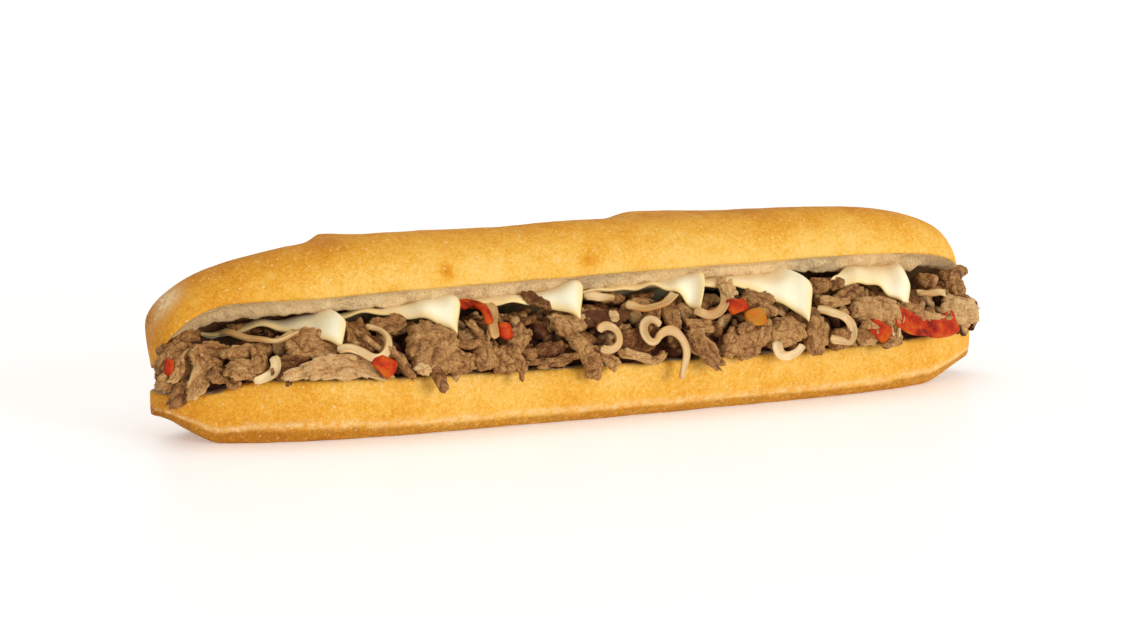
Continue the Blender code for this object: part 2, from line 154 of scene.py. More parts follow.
PEPPERS = (
    (-0.0936, 0.0057, -28, 0.0077, (2,), 0.0060),
    (-0.0573, 0.0195, 111, 0.0161, (-177, -38), 0.0036),
    (0.0368, 0.0135, 7, 0.0085, (0,), 0.0056),
    (0.0929, 0.0063, -25, 0.0095, (0,), 0.0064),
    (0.1050, 0.0080, -27, 0.0309, (40,), 0.0080),
    (-0.1559, 0.0014, 66, 0.0038, (0,), 0.0030),
    (-0.0495, 0.0110, 0, 0.0052, (0,), 0.0050),
    (0.0450, 0.0265, 80, 0.0062, (0,), 0.0050),
    (0.0425, 0.0100, 5, 0.0088, (0,), 0.0056),
)

# Hollows between the pieces of beef, where the core's painted shade shows: place (x, along) and reach, in millimetres
HOLLOWS = (
    (-117.2, 14.2, 3.3), (-75.5, 16.5, 4.4), (-55.3, 18.6, 3.3), (-29.7, 11.1, 5.9), (-35.7, 13, 3.3), (-9.5, 7.5, 3.3),
    (-0.1, 7.3, 3.7), (38.4, 10.4, 3.7), (22.7, 6.6, 2.6), (82.5, 17.9, 4.4), (66.1, 2.1, 2.2), (-118.3, 24, 5.2),
    (-87.8, 4.1, 3.3), (-122.9, 11.2, 3.3), (-81.9, 10.7, 3.7), (-59.2, 0.9, 2.2), (-35.9, 0.3, 1.9), (1.2, 30, 2.2),
    (135.2, 13.9, 3.7), (-124.2, 24, 3.7), (11.8, 9.8, 2.6), (55.9, 2.6, 2.2),
)

# How fine the mesh of a laid piece is, in millimetres
LAID_RING_STEP = 0.45
LAID_SPOKE_STEP = 0.62
# Pieces of beef laid one by one: place (x, along) and how far out in millimetres, turn in degrees, half length, half
# width and half thickness in millimetres, plumpness and tone, and for some a roll in degrees and a curl per metre
LAID = (
    (-151.5, 2, 3, 48, 7.8, 3.3, 1, 0.2, 0.55, 10, 110), (-145.8, 1.3, 3.6, 74, 7.4, 3.5, 1, 0.2, 0.75, -12, 110),
    (-151.7, -4.7, 3.4, 66, 4.6, 3.1, 2, 0.6, 0.35, 0, 60), (-149.7, 6.7, 2.4, 20, 4.8, 2.6, 1.3, 0.4, 0.5, 15, 60),
    (-142, 7, 2.4, 6, 7, 4.4, 1.7, 0.4, 0.45, 20, 40), (-131.7, 9.2, 2.6, 8, 7.8, 2.4, 1.6, 0.5, 0.6, 10, 60),
    (-128, 6.5, 3.2, 82, 5, 2.6, 1.5, 0.5, 0.5, 0, 70), (-131.8, 3.7, 2.6, -4, 7, 3.3, 2.6, 0.8, 0.6),
    (-140, 1.9, 2.4, 0, 4.1, 2.6, 2, 0.8, 0.45), (-155.9, -0.9, 2.6, -20, 3.3, 2.2, 1.6, 0.7, 0.5),
    (-136.2, -0.6, 3, -20, 2.4, 1.7, 1.4, 0.8, 0.5), (-154.8, 4.5, 1.2, 60, 4.8, 3.3, 2.4, 0.8, 0.4),
    (-156, 1.7, 0.6, 70, 4.1, 2.6, 2.2, 0.8, 0.3), (-151.8, 7.6, 1.6, 30, 4.1, 2.2, 2, 0.8, 0.5),
    (-110.5, 12.2, 1.6, -12, 9.2, 5.9, 1.5, 0.2, 0.6, 12, 50), (-105, 4.2, 3, -3, 16.6, 3.9, 1.4, 0.3, 0.95, 0, 30),
    (-118.9, 4.5, 2.4, -6, 6.7, 4.1, 1.5, 0.3, 0.1, 10, 60), (-94.7, 15.4, 1.6, 80, 6.7, 4.4, 1.4, 0.3, 0.42, 0, 60),
    (-83.5, 17.6, 1.8, 12, 6.3, 3.3, 1.4, 0.3, 0.4, 20, 60), (-90.3, 8.6, 3.4, -36, 7.8, 0.9, 0.9, 1, 0.65),
    (-83.2, 4.3, 3.2, -55, 6.7, 1.5, 1.5, 1, 0.5), (-91.7, 10.9, 1.6, 10, 4.1, 2.6, 2, 0.7, 0.35),
    (-70.6, 8.5, 1.4, -14, 10, 8.1, 5.4, 1, 0.6), (-76.1, 4.8, 2.6, 40, 4.8, 3.7, 3, 1, 0.5),
    (-71.6, 0, 4.6, -64, 5.5, 1.9, 1.9, 1, 0.3), (-77.3, 2.7, 5, -30, 3, 2, 1.3, 0.6, 1.05, 0, 60),
    (-63.1, 3.4, 2.2, 0, 5.2, 3.7, 3, 0.9, 0.5), (-55.4, 11.8, 2.8, -60, 6.3, 1.3, 1.3, 1, 0.6),
    (-50.8, 13.9, 3.6, 76, 6.7, 1.3, 1.2, 1, 0.7), (-57.7, 8.5, 2.6, 10, 5.5, 1.7, 1.6, 1, 0.5),
    (-53.7, 4.9, 2, 0, 4.8, 3.9, 3.4, 1, 0.5), (-46.7, 4, 2.2, 10, 5.2, 4.6, 3.4, 1, 0.55),
    (-43.3, 2.5, 4.2, -70, 4.4, 1.7, 1.7, 1, 0.42), (-41.4, 9.4, 1.8, 50, 5.9, 3.9, 1.8, 0.4, 0.52, 0, 50),
    (-38.7, 4.7, 2.6, 0, 3, 2.4, 2, 1, 0.4), (-31.3, 6, 1.4, 0, 5.4, 2.4, 2.2, 1, 0.18),
    (-30.3, 2.4, 2.8, 3, 9.2, 1.9, 1.7, 0.9, 0.42), (-31.3, 20.4, 4.6, -62, 5.5, 2.8, 1.2, 0.3, 0.08, 0, 200),
    (-22.1, 13.4, 1.2, -8, 7, 3.1, 1.6, 0.5, 0.78, 0, 40), (-22.7, 8.7, 2.8, -42, 6.7, 2.2, 1.7, 0.7, 0.5, 0, 60),
    (-19, 5.1, 3, -50, 6.7, 2.8, 2.1, 0.7, 0.6), (-16.4, 0.9, 3.6, -75, 5, 3.1, 2.4, 0.9, 0.5),
    (-9.6, 2, 3, -40, 4.4, 2.2, 1.8, 0.7, 0.58, 0, 50), (-12.8, 4.3, 2.2, 0, 3.7, 2.4, 2, 0.9, 0.45),
    (-8.5, 14.3, 1.2, 0, 8.9, 3.1, 1.3, 0.4, -0.1, 0, 60), (-5.2, 14.1, 2.6, 0, 2, 2, 0.6, 0.5, 1.1),
    (-0.2, 2.8, 3.4, -16, 7, 1.7, 1.3, 0.7, 0.85), (2.9, 6.5, 0.8, 8, 7.8, 4.1, 1.6, 0.4, 0.12, 0, 50),
    (8.1, 1.4, 3.2, 22, 4.1, 1.7, 1.5, 0.9, 0.6), (8.6, 12.6, 2, 60, 4.8, 2.8, 1.7, 0.5, 0.38, 0, 60),
    (16.4, 13.1, 2, 80, 5.2, 3, 1.7, 0.5, 0.5, 0, 60), (25.9, 3.2, 2.6, -47, 8.9, 3.7, 1.7, 0.5, 0.5, 0, 120),
    (24.6, 1.6, 4.8, -47, 7.8, 1.3, 1.3, 1, 0.4), (25.8, 9.4, 2.6, -10, 5.2, 2.6, 1.9, 0.6, 0.62, 0, 40),
    (40.4, 21.6, 4.6, 80, 5.9, 2.8, 1, 0.3, 0.95, 0, 80), (50.9, 17, 2, -5, 5.9, 3.5, 2.4, 0.8, 0.5),
    (37.3, 4.2, 2.4, 60, 5.2, 3.1, 2.1, 0.7, 0.6, 0, 50), (44, 3.3, 2.2, 10, 5.9, 4.6, 2.2, 0.6, 0.52, 0, 50),
    (50.3, 5.8, 2.2, 60, 4.8, 2.8, 1.9, 0.6, 0.62, 0, 60), (59.2, 6.4, 2, 5, 7.8, 5.2, 3.8, 0.9, 0.66),
    (71.2, 4.4, 2.4, 78, 7, 4.4, 2.9, 0.8, 0.56), (81.9, 3.2, 2.4, 10, 5.7, 3.7, 2.9, 0.8, 0.46),
    (92.3, 3.7, 2.4, -20, 4.4, 3.9, 1.7, 0.5, 0.66, 0, 60), (97.1, 10.8, 2.6, -15, 8.9, 5, 3, 0.7, 0.72),
    (105.6, 6.3, 4.6, 86, 6.7, 1.7, 1.6, 1, 0.62), (104.5, 1, 4.2, 0, 2.8, 1.9, 1.5, 1, 0.62),
    (81.5, 13.8, 2.4, -5, 7, 1.9, 1.3, 0.7, 0.72), (131.5, 21, 3.2, 40, 4.8, 4.1, 2.6, 0.8, 0.5),
    (145.7, 18, 6.8, 20, 4.8, 3.7, 2.8, 0.9, 0.45), (152, 20.7, 6.6, -10, 4.8, 3.7, 2.8, 0.9, 0.5),
    (140.6, 24, 5.4, 50, 4.4, 3.3, 2.4, 0.9, 0.4), (77.5, 20.5, 3.2, 10, 4.4, 3, 2.2, 0.8, 0.35),
    (84.5, 20.9, 3, 0, 4.4, 2.8, 2.2, 0.8, 0.3), (-0.5, 26, 1.3, 0, 4.8, 3, 1.8, 0.6, 0.35),
    (13.1, 31.1, 1, 0, 3.7, 2.2, 1.6, 0.6, 0.3), (-152.1, 8.9, 1.4, 30, 4.8, 2.6, 2, 0.7, 0.3),
    (-146.1, 14, 2.4, 15, 4.8, 2.8, 2, 0.7, 0.35), (-126.4, 24, 4.4, 10, 4.8, 2.6, 2, 0.7, 0.3),
    (-122.9, 24, 3.6, -10, 4.4, 2.2, 1.8, 0.7, 0.2), (-116.4, 24, 1.6, 0, 4.8, 2.2, 1.8, 0.7, 0.12),
    (144.5, 18, 4.2, 10, 4.6, 3.5, 2.5, 0.8, 0.45), (146.1, 18, 3.8, 60, 4.4, 3.7, 2.7, 0.9, 0.55),
    (143.4, 17.5, 2.6, -20, 5.2, 2.8, 2.1, 0.8, 0.5), (146.1, 14.4, 3, 30, 3.3, 3, 2.2, 0.9, 0.6),
    (142.7, 8.2, 1.4, -15, 7.8, 5.5, 3.4, 0.8, 1.05), (82, 21.8, 2, 0, 3.3, 2.8, 2.4, 1, 0.45),
    (88.9, 16.7, 1.6, 20, 6.3, 2.8, 2.2, 0.6, 0.35, 0, 40), (115.4, 8.5, 3.6, -15, 7, 2.6, 1.3, 0.4, 0.5, 0, 50),
    (121.9, 6.5, 5.2, -10, 5.5, 1.3, 0.9, 0.6, 0.85), (130.9, 5.9, 4.8, 10, 2.6, 1.7, 1.2, 0.8, 0.6),
    (-152.8, 2, 5.2, 62, 4.8, 2, 0.9, 0.3, 0.65, 0, 90), (42.3, 7.9, 5, 20, 3.7, 1.9, 1.6, 0.8, 0.45),
    (51.9, 12.2, 5, -30, 3.7, 1.7, 1.3, 0.7, 0.55), (93, 5.7, 5.4, -30, 3.3, 1.7, 1.3, 0.7, 0.6),
    (100.8, 0.6, 5.2, 10, 3, 1.5, 1.3, 0.7, 0.5),
)

# The camera and the light
CAMERA_YAW_DEG = -26
CAMERA_PITCH_DEG = 8.3
CAMERA_DISTANCE = 0.9152
CAMERA_TARGET = (-0.0099, 0, 0.0336)
SOFT_WHITE = (1.0, 0.985, 0.96)
# Each light: where it comes from, its strength and how many degrees wide it is
LIGHTS = (("key", (0.40, -0.90, 0.19), 1.7, 26), ("top", (0.05, 0.25, 1.0), 0.55, 50))

SIDE = ROLL_LENGTH / 2
HALF_WIDTH = ROLL_WIDTH / 2
HINGE_Y = HALF_WIDTH - HINGE_INSET


# Helpers for materials


class Surface:
    """Builds one procedural material on the Principled shader."""

    def __init__(self, name, roughness=0.5, **sockets):
        self.material = bpy.data.materials.new(name)
        self.material.use_nodes = True
        self.tree = self.material.node_tree
        self.shader = self.tree.nodes["Principled BSDF"].inputs
        self.shader["Roughness"].default_value = roughness
        for key, value in sockets.items():
            self.shader[key.replace("_", " ").title().replace("Ior", "IOR")].default_value = value

    def give(self, socket, value):
        """Sets a socket to a number or a colour, or links it to another node."""
        if isinstance(value, (int, float)):
            socket.default_value = value
        elif isinstance(value, tuple):
            socket.default_value = (*value, 1)
        else:
            self.tree.links.new(value, socket)

    def add(self, kind, inputs, **settings):
        """A node with its settings, and its inputs by name or number."""
        node = self.tree.nodes.new(kind)
        for key, value in settings.items():
            setattr(node, key, value)
        for key, value in inputs.items():
            self.give(node.inputs[key], value)
        return node

    def place(self, scale=(1, 1, 1), attribute=None):
        """Object coordinates, or a stored vector, stretched by a scale."""
        if attribute:
            start = self.add("ShaderNodeAttribute", {}, attribute_name=attribute).outputs["Vector"]
        else:
            start = self.add("ShaderNodeTexCoord", {}).outputs["Object"]
        mapping = self.add("ShaderNodeMapping", {"Vector": start})
        mapping.inputs["Scale"].default_value = scale
        return mapping.outputs["Vector"]

    def stored(self, name):
        return self.add("ShaderNodeAttribute", {}, attribute_name=name).outputs["Fac"]

    def noise(self, where, scale, detail=4.0, roughness=0.55, distortion=0.0):
        inputs = {"Vector": where, "Scale": scale, "Detail": detail, "Roughness": roughness, "Distortion": distortion}
        return self.add("ShaderNodeTexNoise", inputs).outputs["Fac"]

    def cells(self, where, scale):
        return self.add("ShaderNodeTexVoronoi", {"Vector": where, "Scale": scale}).outputs

    def ramp(self, value, *stops):
        """A colour ramp; a stop is a position and a colour or a grey."""
        node = self.add("ShaderNodeValToRGB", {"Fac": value})
        bar = node.color_ramp.elements
        while len(bar) < len(stops):
            bar.new(0.5)
        for element, (position, colour) in zip(bar, stops):
            element.position = position
            element.color = (*colour, 1) if isinstance(colour, tuple) else (colour, colour, colour, 1)
        return node.outputs["Color"]

    def mix(self, share, first, second):
        return self.add("ShaderNodeMix", {"Factor": share, 6: first, 7: second}, data_type="RGBA").outputs[2]

    def maths(self, operation, *values):
        return self.add("ShaderNodeMath", dict(enumerate(values)), operation=operation).outputs[0]

    def product(self, first, *others):
        for value in others:
            first = self.maths("MULTIPLY", first, value)
        return first

    def total(self, start, *terms):
        """A start value plus each further value times its weight."""
        for value, weight in terms:
            start = self.maths("MULTIPLY_ADD", value, weight, start)
        return start

    def finish(self, colour, relief, distance, strength, shine=None):
        """Gives the shader its colour, its fine relief and, where it varies, its roughness."""
        self.give(self.shader["Base Color"], colour)
        bump = self.add("ShaderNodeBump", {"Height": relief, "Distance": distance, "Strength": strength})
        self.give(self.shader["Normal"], bump.outputs["Normal"])
        if shine is not None:
            self.give(self.shader["Roughness"], shine)
        return self.material


def crust_surface():
    """Golden baked crust, mottled with tiny pale specks: paler towards the cut, browner on top and at the ends, partly
    painted shade.
    """
    made = Surface("golden_crust", 0.55, subsurface_weight=0.04, subsurface_radius=(0.004, 0.002, 0.0008),
                   subsurface_scale=0.4, specular_ior_level=0.12)
    where = made.place()
    broad, middle = made.noise(where, 55, 3), made.noise(where, 190, 4)
    fine, grain = made.noise(where, 800, 5, 0.7), made.noise(where, 2300, 3, 0.6)
    # The stored value darkens the crust where it is baked browner, and also with painted shade.
    bake_and_shade = made.total(-1.40, (made.stored("bake_and_shade"), 1.0), (broad, 0.50), (middle, 0.40), (fine, 0.95), (grain, 0.95))
    colour = made.ramp(bake_and_shade, (0.0, (0.90, 0.56, 0.14)), (0.22, (0.84, 0.445, 0.058)), (0.48, (0.75, 0.325, 0.022)),
                       (0.76, (0.62, 0.215, 0.010)), (1.0, (0.41, 0.110, 0.005)))
    specks = made.cells(where, 520)
    speck = made.product(made.ramp(specks["Distance"], (0.0, 1.0), (0.14, 0.8), (0.26, 0.0)),
                         made.ramp(specks["Color"], (0.62, 0.0), (0.66, 1.0)))
    colour = made.mix(made.product(speck, 0.60), colour, (0.95, 0.76, 0.38))
    dust = made.ramp(made.noise(where, 520, 6, 0.75), (0.56, 0.0), (0.68, 1.0))
    colour = made.mix(made.product(dust, 0.42), colour, (0.90, 0.64, 0.26))
    scorch = made.ramp(made.noise(where, 700, 5, 0.7), (0.42, 0.0), (0.62, 1.0))
    under = made.stored("base_band")
    colour = made.mix(made.product(under, made.total(0.08, (scorch, 0.44))), colour, (0.36, 0.150, 0.022))
    flour = made.ramp(made.noise(where, 480, 5, 0.7), (0.40, 0.0), (0.60, 1.0))
    colour = made.mix(made.product(made.stored("ledge"), made.total(0.05, (flour, 0.75))), colour, (0.90, 0.68, 0.36))
    dusty = made.product(made.stored("dusted"), made.ramp(fine, (0.40, 0.30), (0.58, 1.0)))
    colour = made.mix(dusty, colour, (0.92, 0.72, 0.42))
    relief = made.total(0.0, (middle, 0.5), (fine, 0.75), (speck, 0.14), (made.product(scorch, under), 0.4))
    return made.finish(colour, relief, 0.0009, 0.9, made.ramp(middle, (0.3, 0.55), (0.7, 0.72)))


def crumb_surface():
    """Pale soft crumb on the cut faces, browner in its pores, with painted shade towards the ends and behind its ragged
    edge.
    """
    made = Surface("open_crumb", 0.95, specular_ior_level=0.05)
    where = made.place()
    fine = made.noise(where, 1300, 5, 0.7)
    pores = made.ramp(made.cells(where, 700)["Distance"], (0.0, 0.0), (0.42, 1.0))
    colour = made.ramp(made.total(0.0, (fine, 0.65), (made.noise(where, 260, 4), 0.35)),
                       (0.34, (0.74, 0.48, 0.22)), (0.52, (0.93, 0.69, 0.37)), (0.70, (1.0, 0.86, 0.56)))
    # Browner in the pores, and with painted shade towards the roll's ends.
    colour = made.mix(made.product(made.stored("pore_and_end_shade"), 0.55), colour, (0.46, 0.24, 0.085))
    colour = made.mix(made.total(0.22, (pores, -0.22)), colour, (0.50, 0.30, 0.12))
    # Painted shade: near black behind the ragged edge of the crumb.
    colour = made.mix(made.product(made.stored("shade_behind_edge"), 0.88), colour, (0.13, 0.050, 0.014))
    return made.finish(colour, made.total(fine, (pores, 0.4)), 0.0010, 0.9)


def beef_surface():
    """Moist chopped beef: tan brown and grainy, with darker fibres, painted shade in its creases and near black painted
    shade between the pieces.
    """
    made = Surface("chopped_beef", 0.5, subsurface_weight=0.04, subsurface_radius=(0.003, 0.0012, 0.0006),
                   subsurface_scale=0.4, specular_ior_level=0.25)
    own = made.place(attribute="own_place")
    fibre = made.noise(made.place((260, 1300, 900), "own_place"), 1.0, 5, 0.65, 0.8)
    patch, grain = made.noise(own, 240, 5, 0.65), made.noise(own, 1500, 4, 0.7)
    # Darker in the creases: painted shade.
    tone = made.total(-0.575, (fibre, 0.30), (patch, 0.48), (made.stored("tone"), 0.42), (grain, 0.68),
                      (made.stored("rim"), 0.12), (made.stored("crease_shade"), -0.22))
    colour = made.ramp(tone, (0.12, (0.13, 0.038, 0.008)), (0.28, (0.32, 0.138, 0.038)), (0.42, (0.53, 0.270, 0.088)),
                       (0.56, (0.70, 0.420, 0.168)), (0.78, (0.88, 0.64, 0.34)))
    # Painted shade: near black where a point lies further down in the heap.
    painted_depth_shade = made.stored("painted_depth_shade")
    colour = made.mix(made.product(painted_depth_shade, 0.96), colour, (0.048, 0.0095, 0.0030))
    shine = made.maths("MAXIMUM", made.ramp(patch, (0.35, 0.36), (0.65, 0.60)), painted_depth_shade)
    return made.finish(colour, made.total(grain, (fibre, 0.35)), 0.0009, 0.9, shine)


def onion_surface():
    """Soft fried onion: translucent pale gold with fine lengthwise lines and amber edges."""
    made = Surface("fried_onion", 0.32, subsurface_weight=0.22, subsurface_radius=(0.003, 0.0018, 0.0008),
                   subsurface_scale=0.4, coat_weight=0.15, coat_roughness=0.2)
    lines = made.noise(made.place((120, 2600, 900), "own_place"), 1.0, 4, 0.6)
    patch = made.noise(made.place(attribute="own_place"), 130, 4)
    tone = made.total(-0.16, (lines, 0.50), (patch, 0.50), (made.stored("tone"), 0.50), (made.stored("rim"), 0.34))
    colour = made.ramp(tone, (0.26, (0.86, 0.64, 0.34)), (0.46, (0.70, 0.455, 0.19)), (0.66, (0.56, 0.30, 0.085)),
                       (0.92, (0.50, 0.18, 0.018)))
    return made.finish(colour, lines, 0.0006, 0.8)


def pepper_surface():
    """Cooked red pepper: soft red skin, orange in patches and towards its edges."""
    made = Surface("red_pepper", 0.50, specular_ior_level=0.14)
    own = made.place(attribute="own_place")
    patch = made.noise(own, 260, 5, 0.6)
    tone = made.total(-0.25, (patch, 1.0), (made.stored("tone"), 0.5), (made.stored("rim"), 0.10))
    colour = made.ramp(tone, (0.28, (0.20, 0.008, 0.001)), (0.46, (0.50, 0.030, 0.002)), (0.64, (0.56, 0.105, 0.003)),
                       (1.0, (0.47, 0.190, 0.014)))
    return made.finish(colour, made.total(patch, (made.noise(own, 900, 4), 1.0)), 0.0010, 0.8)


def cheese_surface():
    """Soft sliced cheese: cream at its corners, warmer and darker up under the bread, partly with painted shade, with a
    yellow cut edge.
    """
    made = Surface("sliced_cheese", 0.36, subsurface_weight=0.22, subsurface_radius=(0.004, 0.0028, 0.0012),
                   subsurface_scale=0.5, coat_weight=0.06, coat_roughness=0.3)
    where = made.place()
    patch = made.noise(where, 60, 4)
    colour = made.ramp(patch, (0.3, (0.93, 0.84, 0.58)), (0.7, (0.96, 0.89, 0.66)))
    # Warmer and darker up under the bread: partly the cheese's own colour, partly painted shade.
    warmth_and_shade = made.product(made.stored("warmth_and_shade"), made.total(0.45, (patch, 0.8)))
    colour = made.mix(warmth_and_shade, colour, (0.84, 0.58, 0.24))
    colour = made.mix(made.product(made.stored("rim"), 0.80), colour, (0.90, 0.62, 0.22))
    return made.finish(colour, made.noise(where, 260, 3), 0.0004, 0.35)


def floor_surface():
    """A plain pale floor that glows a little, so that shadows on it stay soft."""
    made = Surface("pale_floor", 0.38, emission_color=(*SOFT_WHITE, 1), emission_strength=0.30)
    made.give(made.shader["Base Color"], made.ramp(made.noise(made.place(), 3, 2), (0.3, (0.90, 0.89, 0.87)),
                                                   (0.7, (0.918, 0.9078, 0.8874))))
    return made.material


# Shapes shared with the CAD solids


def smooth(t):
    t = min(max(t, 0.0), 1.0)
    return t * t * (3 - 2 * t)


def boxy(value, power=0.78):
    return math.copysign(abs(value) ** power, value)


def rounded_end(x, reach, power=2.0):
    into = max(0.0, abs(x) - (SIDE - reach)) / reach
    return max(0.0, 1 - into ** power) ** (1 / power)


def plan_half_width(x):
    return HALF_WIDTH * (1 - BARREL * (x / SIDE) ** 2) * rounded_end(x, END_ROUND)


def dome_height(x):
    return DOME_HEIGHT * rounded_end(x, *(NOSE_LEFT if x < 0 else NOSE_RIGHT))


def cut_height(x):
    return CUT_HEIGHT - CUT_FALL * x + CUT_SAG * (x / SIDE) ** 2


def opening(x):
    droop = smooth((-x - DROOP_START) / (SIDE - DROOP_START))
    return math.radians(OPENING_DEG + OPENING_TWIST_DEG * x - OPENING_DROOP_DEG * droop)


def base_lift(x):
    start, lift = END_LIFTS[x > 0]
    return lift * smooth((abs(x) - start) / (SIDE - start))


def rim_height(x):
    return cut_height(x) - END_DIP * smooth((-x - END_DIP_START) / END_DIP_SPAN)


def upper_half_width(x):
    short, reach, power = UPPER_ENDS[x > 0]
    into = min(max(0.0, abs(x) - (SIDE - short - reach)) / reach, 1.0)
    return HALF_WIDTH * (1 - BARREL * (x / SIDE) ** 2) * (1 - into ** power) ** (1 / power)


def nose_drop(x, y):
    """How far the crust of the left end reaches down past the cut."""
    onset = max(0.0, 1 - upper_half_width(x) / NOSE_START) ** 1.3 if x < 0 else 0.0
    return NOSE_DROP * onset * min(max((HINGE_Y - y) / HINGE_Y, 0.0), 1.0)


def opened(x, y, z):
    """A point of the closed upper half, its z counted from the cut, where it lies once the roll is opened."""
    turn = opening(x)
    back = HINGE_Y - y
    return (x, HINGE_Y - back * math.cos(turn) + z * math.sin(turn),
            cut_height(x) + back * math.sin(turn) + z * math.cos(turn))


def closed(x, y, z):
    """The closed y, and the height over the cut, of a point of the opened upper half."""
    turn = opening(x)
    over, back = z - cut_height(x), HINGE_Y - y
    return HINGE_Y - (back * math.cos(turn) + over * math.sin(turn)), over * math.cos(turn) - back * math.sin(turn)


def score_relief(x, y):
    height = 0.0
    for start, rise, step, fade in SCORES:
        past = x - start - SCORE_SLANT * y
        height += rise * smooth(past / step + 0.5) * math.exp(-(max(past, 0.0) / fade) ** 2)
    return height


def unevenness(x, y, z, size=0.035):
    return noise.noise(Vector((x, y, z)) / size) * CRUST_RELIEF


def heap_shape(x):
    """Centre, depth and height of the rounded front of the heap at x."""
    turn = opening(x)
    half = plan_half_width(x - HEAP_SHIFT)
    depth = min(HEAP_DEPTH, half * 0.8)
    centre = -half - HEAP_OVERHANG + depth
    reach = (HINGE_Y - centre) * math.sin(turn) - CHEESE_ROOM
    height = math.sqrt(max(reach ** 2 - (depth * math.sin(turn)) ** 2, 1e-6)) / math.cos(turn)
    return centre, depth, height


def over_heap(x, along, out=0.0):
    """A point `along` the heap from its rim, up the front, over the top and back under the upper half."""
    centre, depth, height = heap_shape(max(x, HEAP_LEFT))
    turn = opening(x)
    quarter = (depth + height) * QUARTER_ROUND
    last = math.pi / 2 + math.atan2(depth * math.sin(turn), height * math.cos(turn))
    angle = along / quarter * math.pi / 2
    bend = min(max(angle, 0.0), last)
    y, z = centre - depth * math.cos(bend), cut_height(x) + height * math.sin(bend)
    normal = Vector((0, -math.cos(bend) / depth, math.sin(bend) / height)).normalized()
    if angle < 0:
        return Vector((x, y - out, z + along)), Vector((0, -1, 0))
    if angle > last:
        inside = (angle - last) * quarter / (math.pi / 2)
        y, z = y + inside * math.cos(turn), z - inside * math.sin(turn)
    return Vector((x, y, z)) + normal * out, normal


# Meshes


def add_piece(name, vertices, faces, material, attributes=None):
    """A smooth mesh object with its material and per-point attributes."""
    data = bpy.data.meshes.new(name)
    data.from_pydata([tuple(v) for v in vertices], [], faces)
    for key, values in (attributes or {}).items():
        values = np.asarray(values, dtype=np.float32)
        kind = "FLOAT_VECTOR" if values.ndim == 2 else "FLOAT"
        field = "vector" if values.ndim == 2 else "value"
        data.attributes.new(key, kind, "POINT").data.foreach_set(field, values.ravel())
    made = bpy.data.objects.new(name, data)
    bpy.context.scene.collection.objects.link(made)
    if material is not None:
        data.materials.append(material)
    data.shade_smooth()
    return made


def points_of(mesh):
    found = np.empty(len(mesh.vertices) * 3, dtype=np.float32)
    mesh.vertices.foreach_get("co", found)
    return found.reshape(-1, 3)


def rounded_outline(points, count, radius, weight=None, steps=900):
    """A closed outline resampled, more densely where the weight is larger, with its corners rounded."""
    points = np.asarray(points)
    closed_line = np.vstack([points, points[:1]])
    run = np.concatenate([[0], np.cumsum(np.linalg.norm(np.diff(closed_line, axis=0), axis=1))])
    fine = np.linspace(0, run[-1], steps, endpoint=False)
    line = np.stack([np.interp(fine, run, closed_line[:, k]) for k in range(3)], axis=1)
    for _ in range(max(1, int((radius / (run[-1] / steps)) ** 2))):
        line = (np.roll(line, 1, axis=0) + 2 * line + np.roll(line, -1, axis=0)) / 4
    spread = np.ones(steps) if weight is None else np.array([weight(p) for p in line])
    share = np.concatenate([[0], np.cumsum(spread)])
    whole = np.arange(steps + 1)
    wanted = np.interp(np.linspace(0, share[-1], count, endpoint=False), share, whole)
    line = np.vstack([line, line[:1]])
    return np.stack([np.interp(wanted, whole, line[:, k]) for k in range(3)], axis=1)


def lower_outline(x):
    half, low = plan_half_width(x), base_lift(x)
    rim = rim_height(x) - low
    round_end = 0.75 * smooth((abs(x) - 0.118) / 0.030)
    side = []
    for out, up in LOWER_SIDE:
        swell = 0.70 + 0.30 * math.sin(math.pi / 2 * min(up / 0.6, 1.0))
        side.append((out + (min(swell, 0.985) - out) * round_end, up))
    front = [(x, -half * out, low + rim * up) for out, up in side]
    back = [(x, half * out, low + rim * up) for out, up in reversed(side)]
    points = []
    for x, y, z in front + back:
        on_side = smooth((z - low) / 0.006) * smooth((rim_height(x) - z) / 0.004)
        points.append((x, y * (1 + on_side * unevenness(x, y, z) / HALF_WIDTH), z))
    edge = -half * 0.7
    return rounded_outline(points, 96, 0.0009, lambda p: 0.35 if p[1] > edge and p[2] < low + 0.001 else 1.0)


def upper_outline(x):
    half, dome = upper_half_width(x), dome_height(x)
    tuck = math.radians(UPPER_TUCK_DEG)
    points = [(half * share, 0.0) for share in (-UPPER_FLAT, -0.5, 0.0, 0.5, UPPER_FLAT)]
    for step in range(1, 60):
        angle = -tuck + (math.pi + 2 * tuck) * step / 60
        up = max((math.sin(angle) + math.sin(tuck)) / (1 + math.sin(tuck)), 0.0) ** 0.92
        points.append((half * boxy(math.cos(angle), 0.9), dome * up))
    outline = []
    for y, z in points:
        lift = smooth(z / 0.010) * (unevenness(x, y, z + 0.2) + score_relief(x, y) * smooth((y + 0.02) / 0.02))
        outline.append(opened(x, y, z + lift - nose_drop(x, y) * (1 - min(z / max(dome, 0.001), 1.0))))

    def dense(p):
        y, z = closed(x, p[1], p[2])
        if z > 0.0012:
            return 0.62
        return 2.4 if y < -half + 0.018 else 0.40

    return rounded_outline(outline, 150, 0.0006, dense)


def ring_faces(rings, count):
    """The quads between neighbouring rings of points."""
    faces = []
    for r in range(rings - 1):
        for i in range(count):
            j = (i + 1) % count
            faces.append((r * count + i, r * count + j, (r + 1) * count + j, (r + 1) * count + i))
    return faces


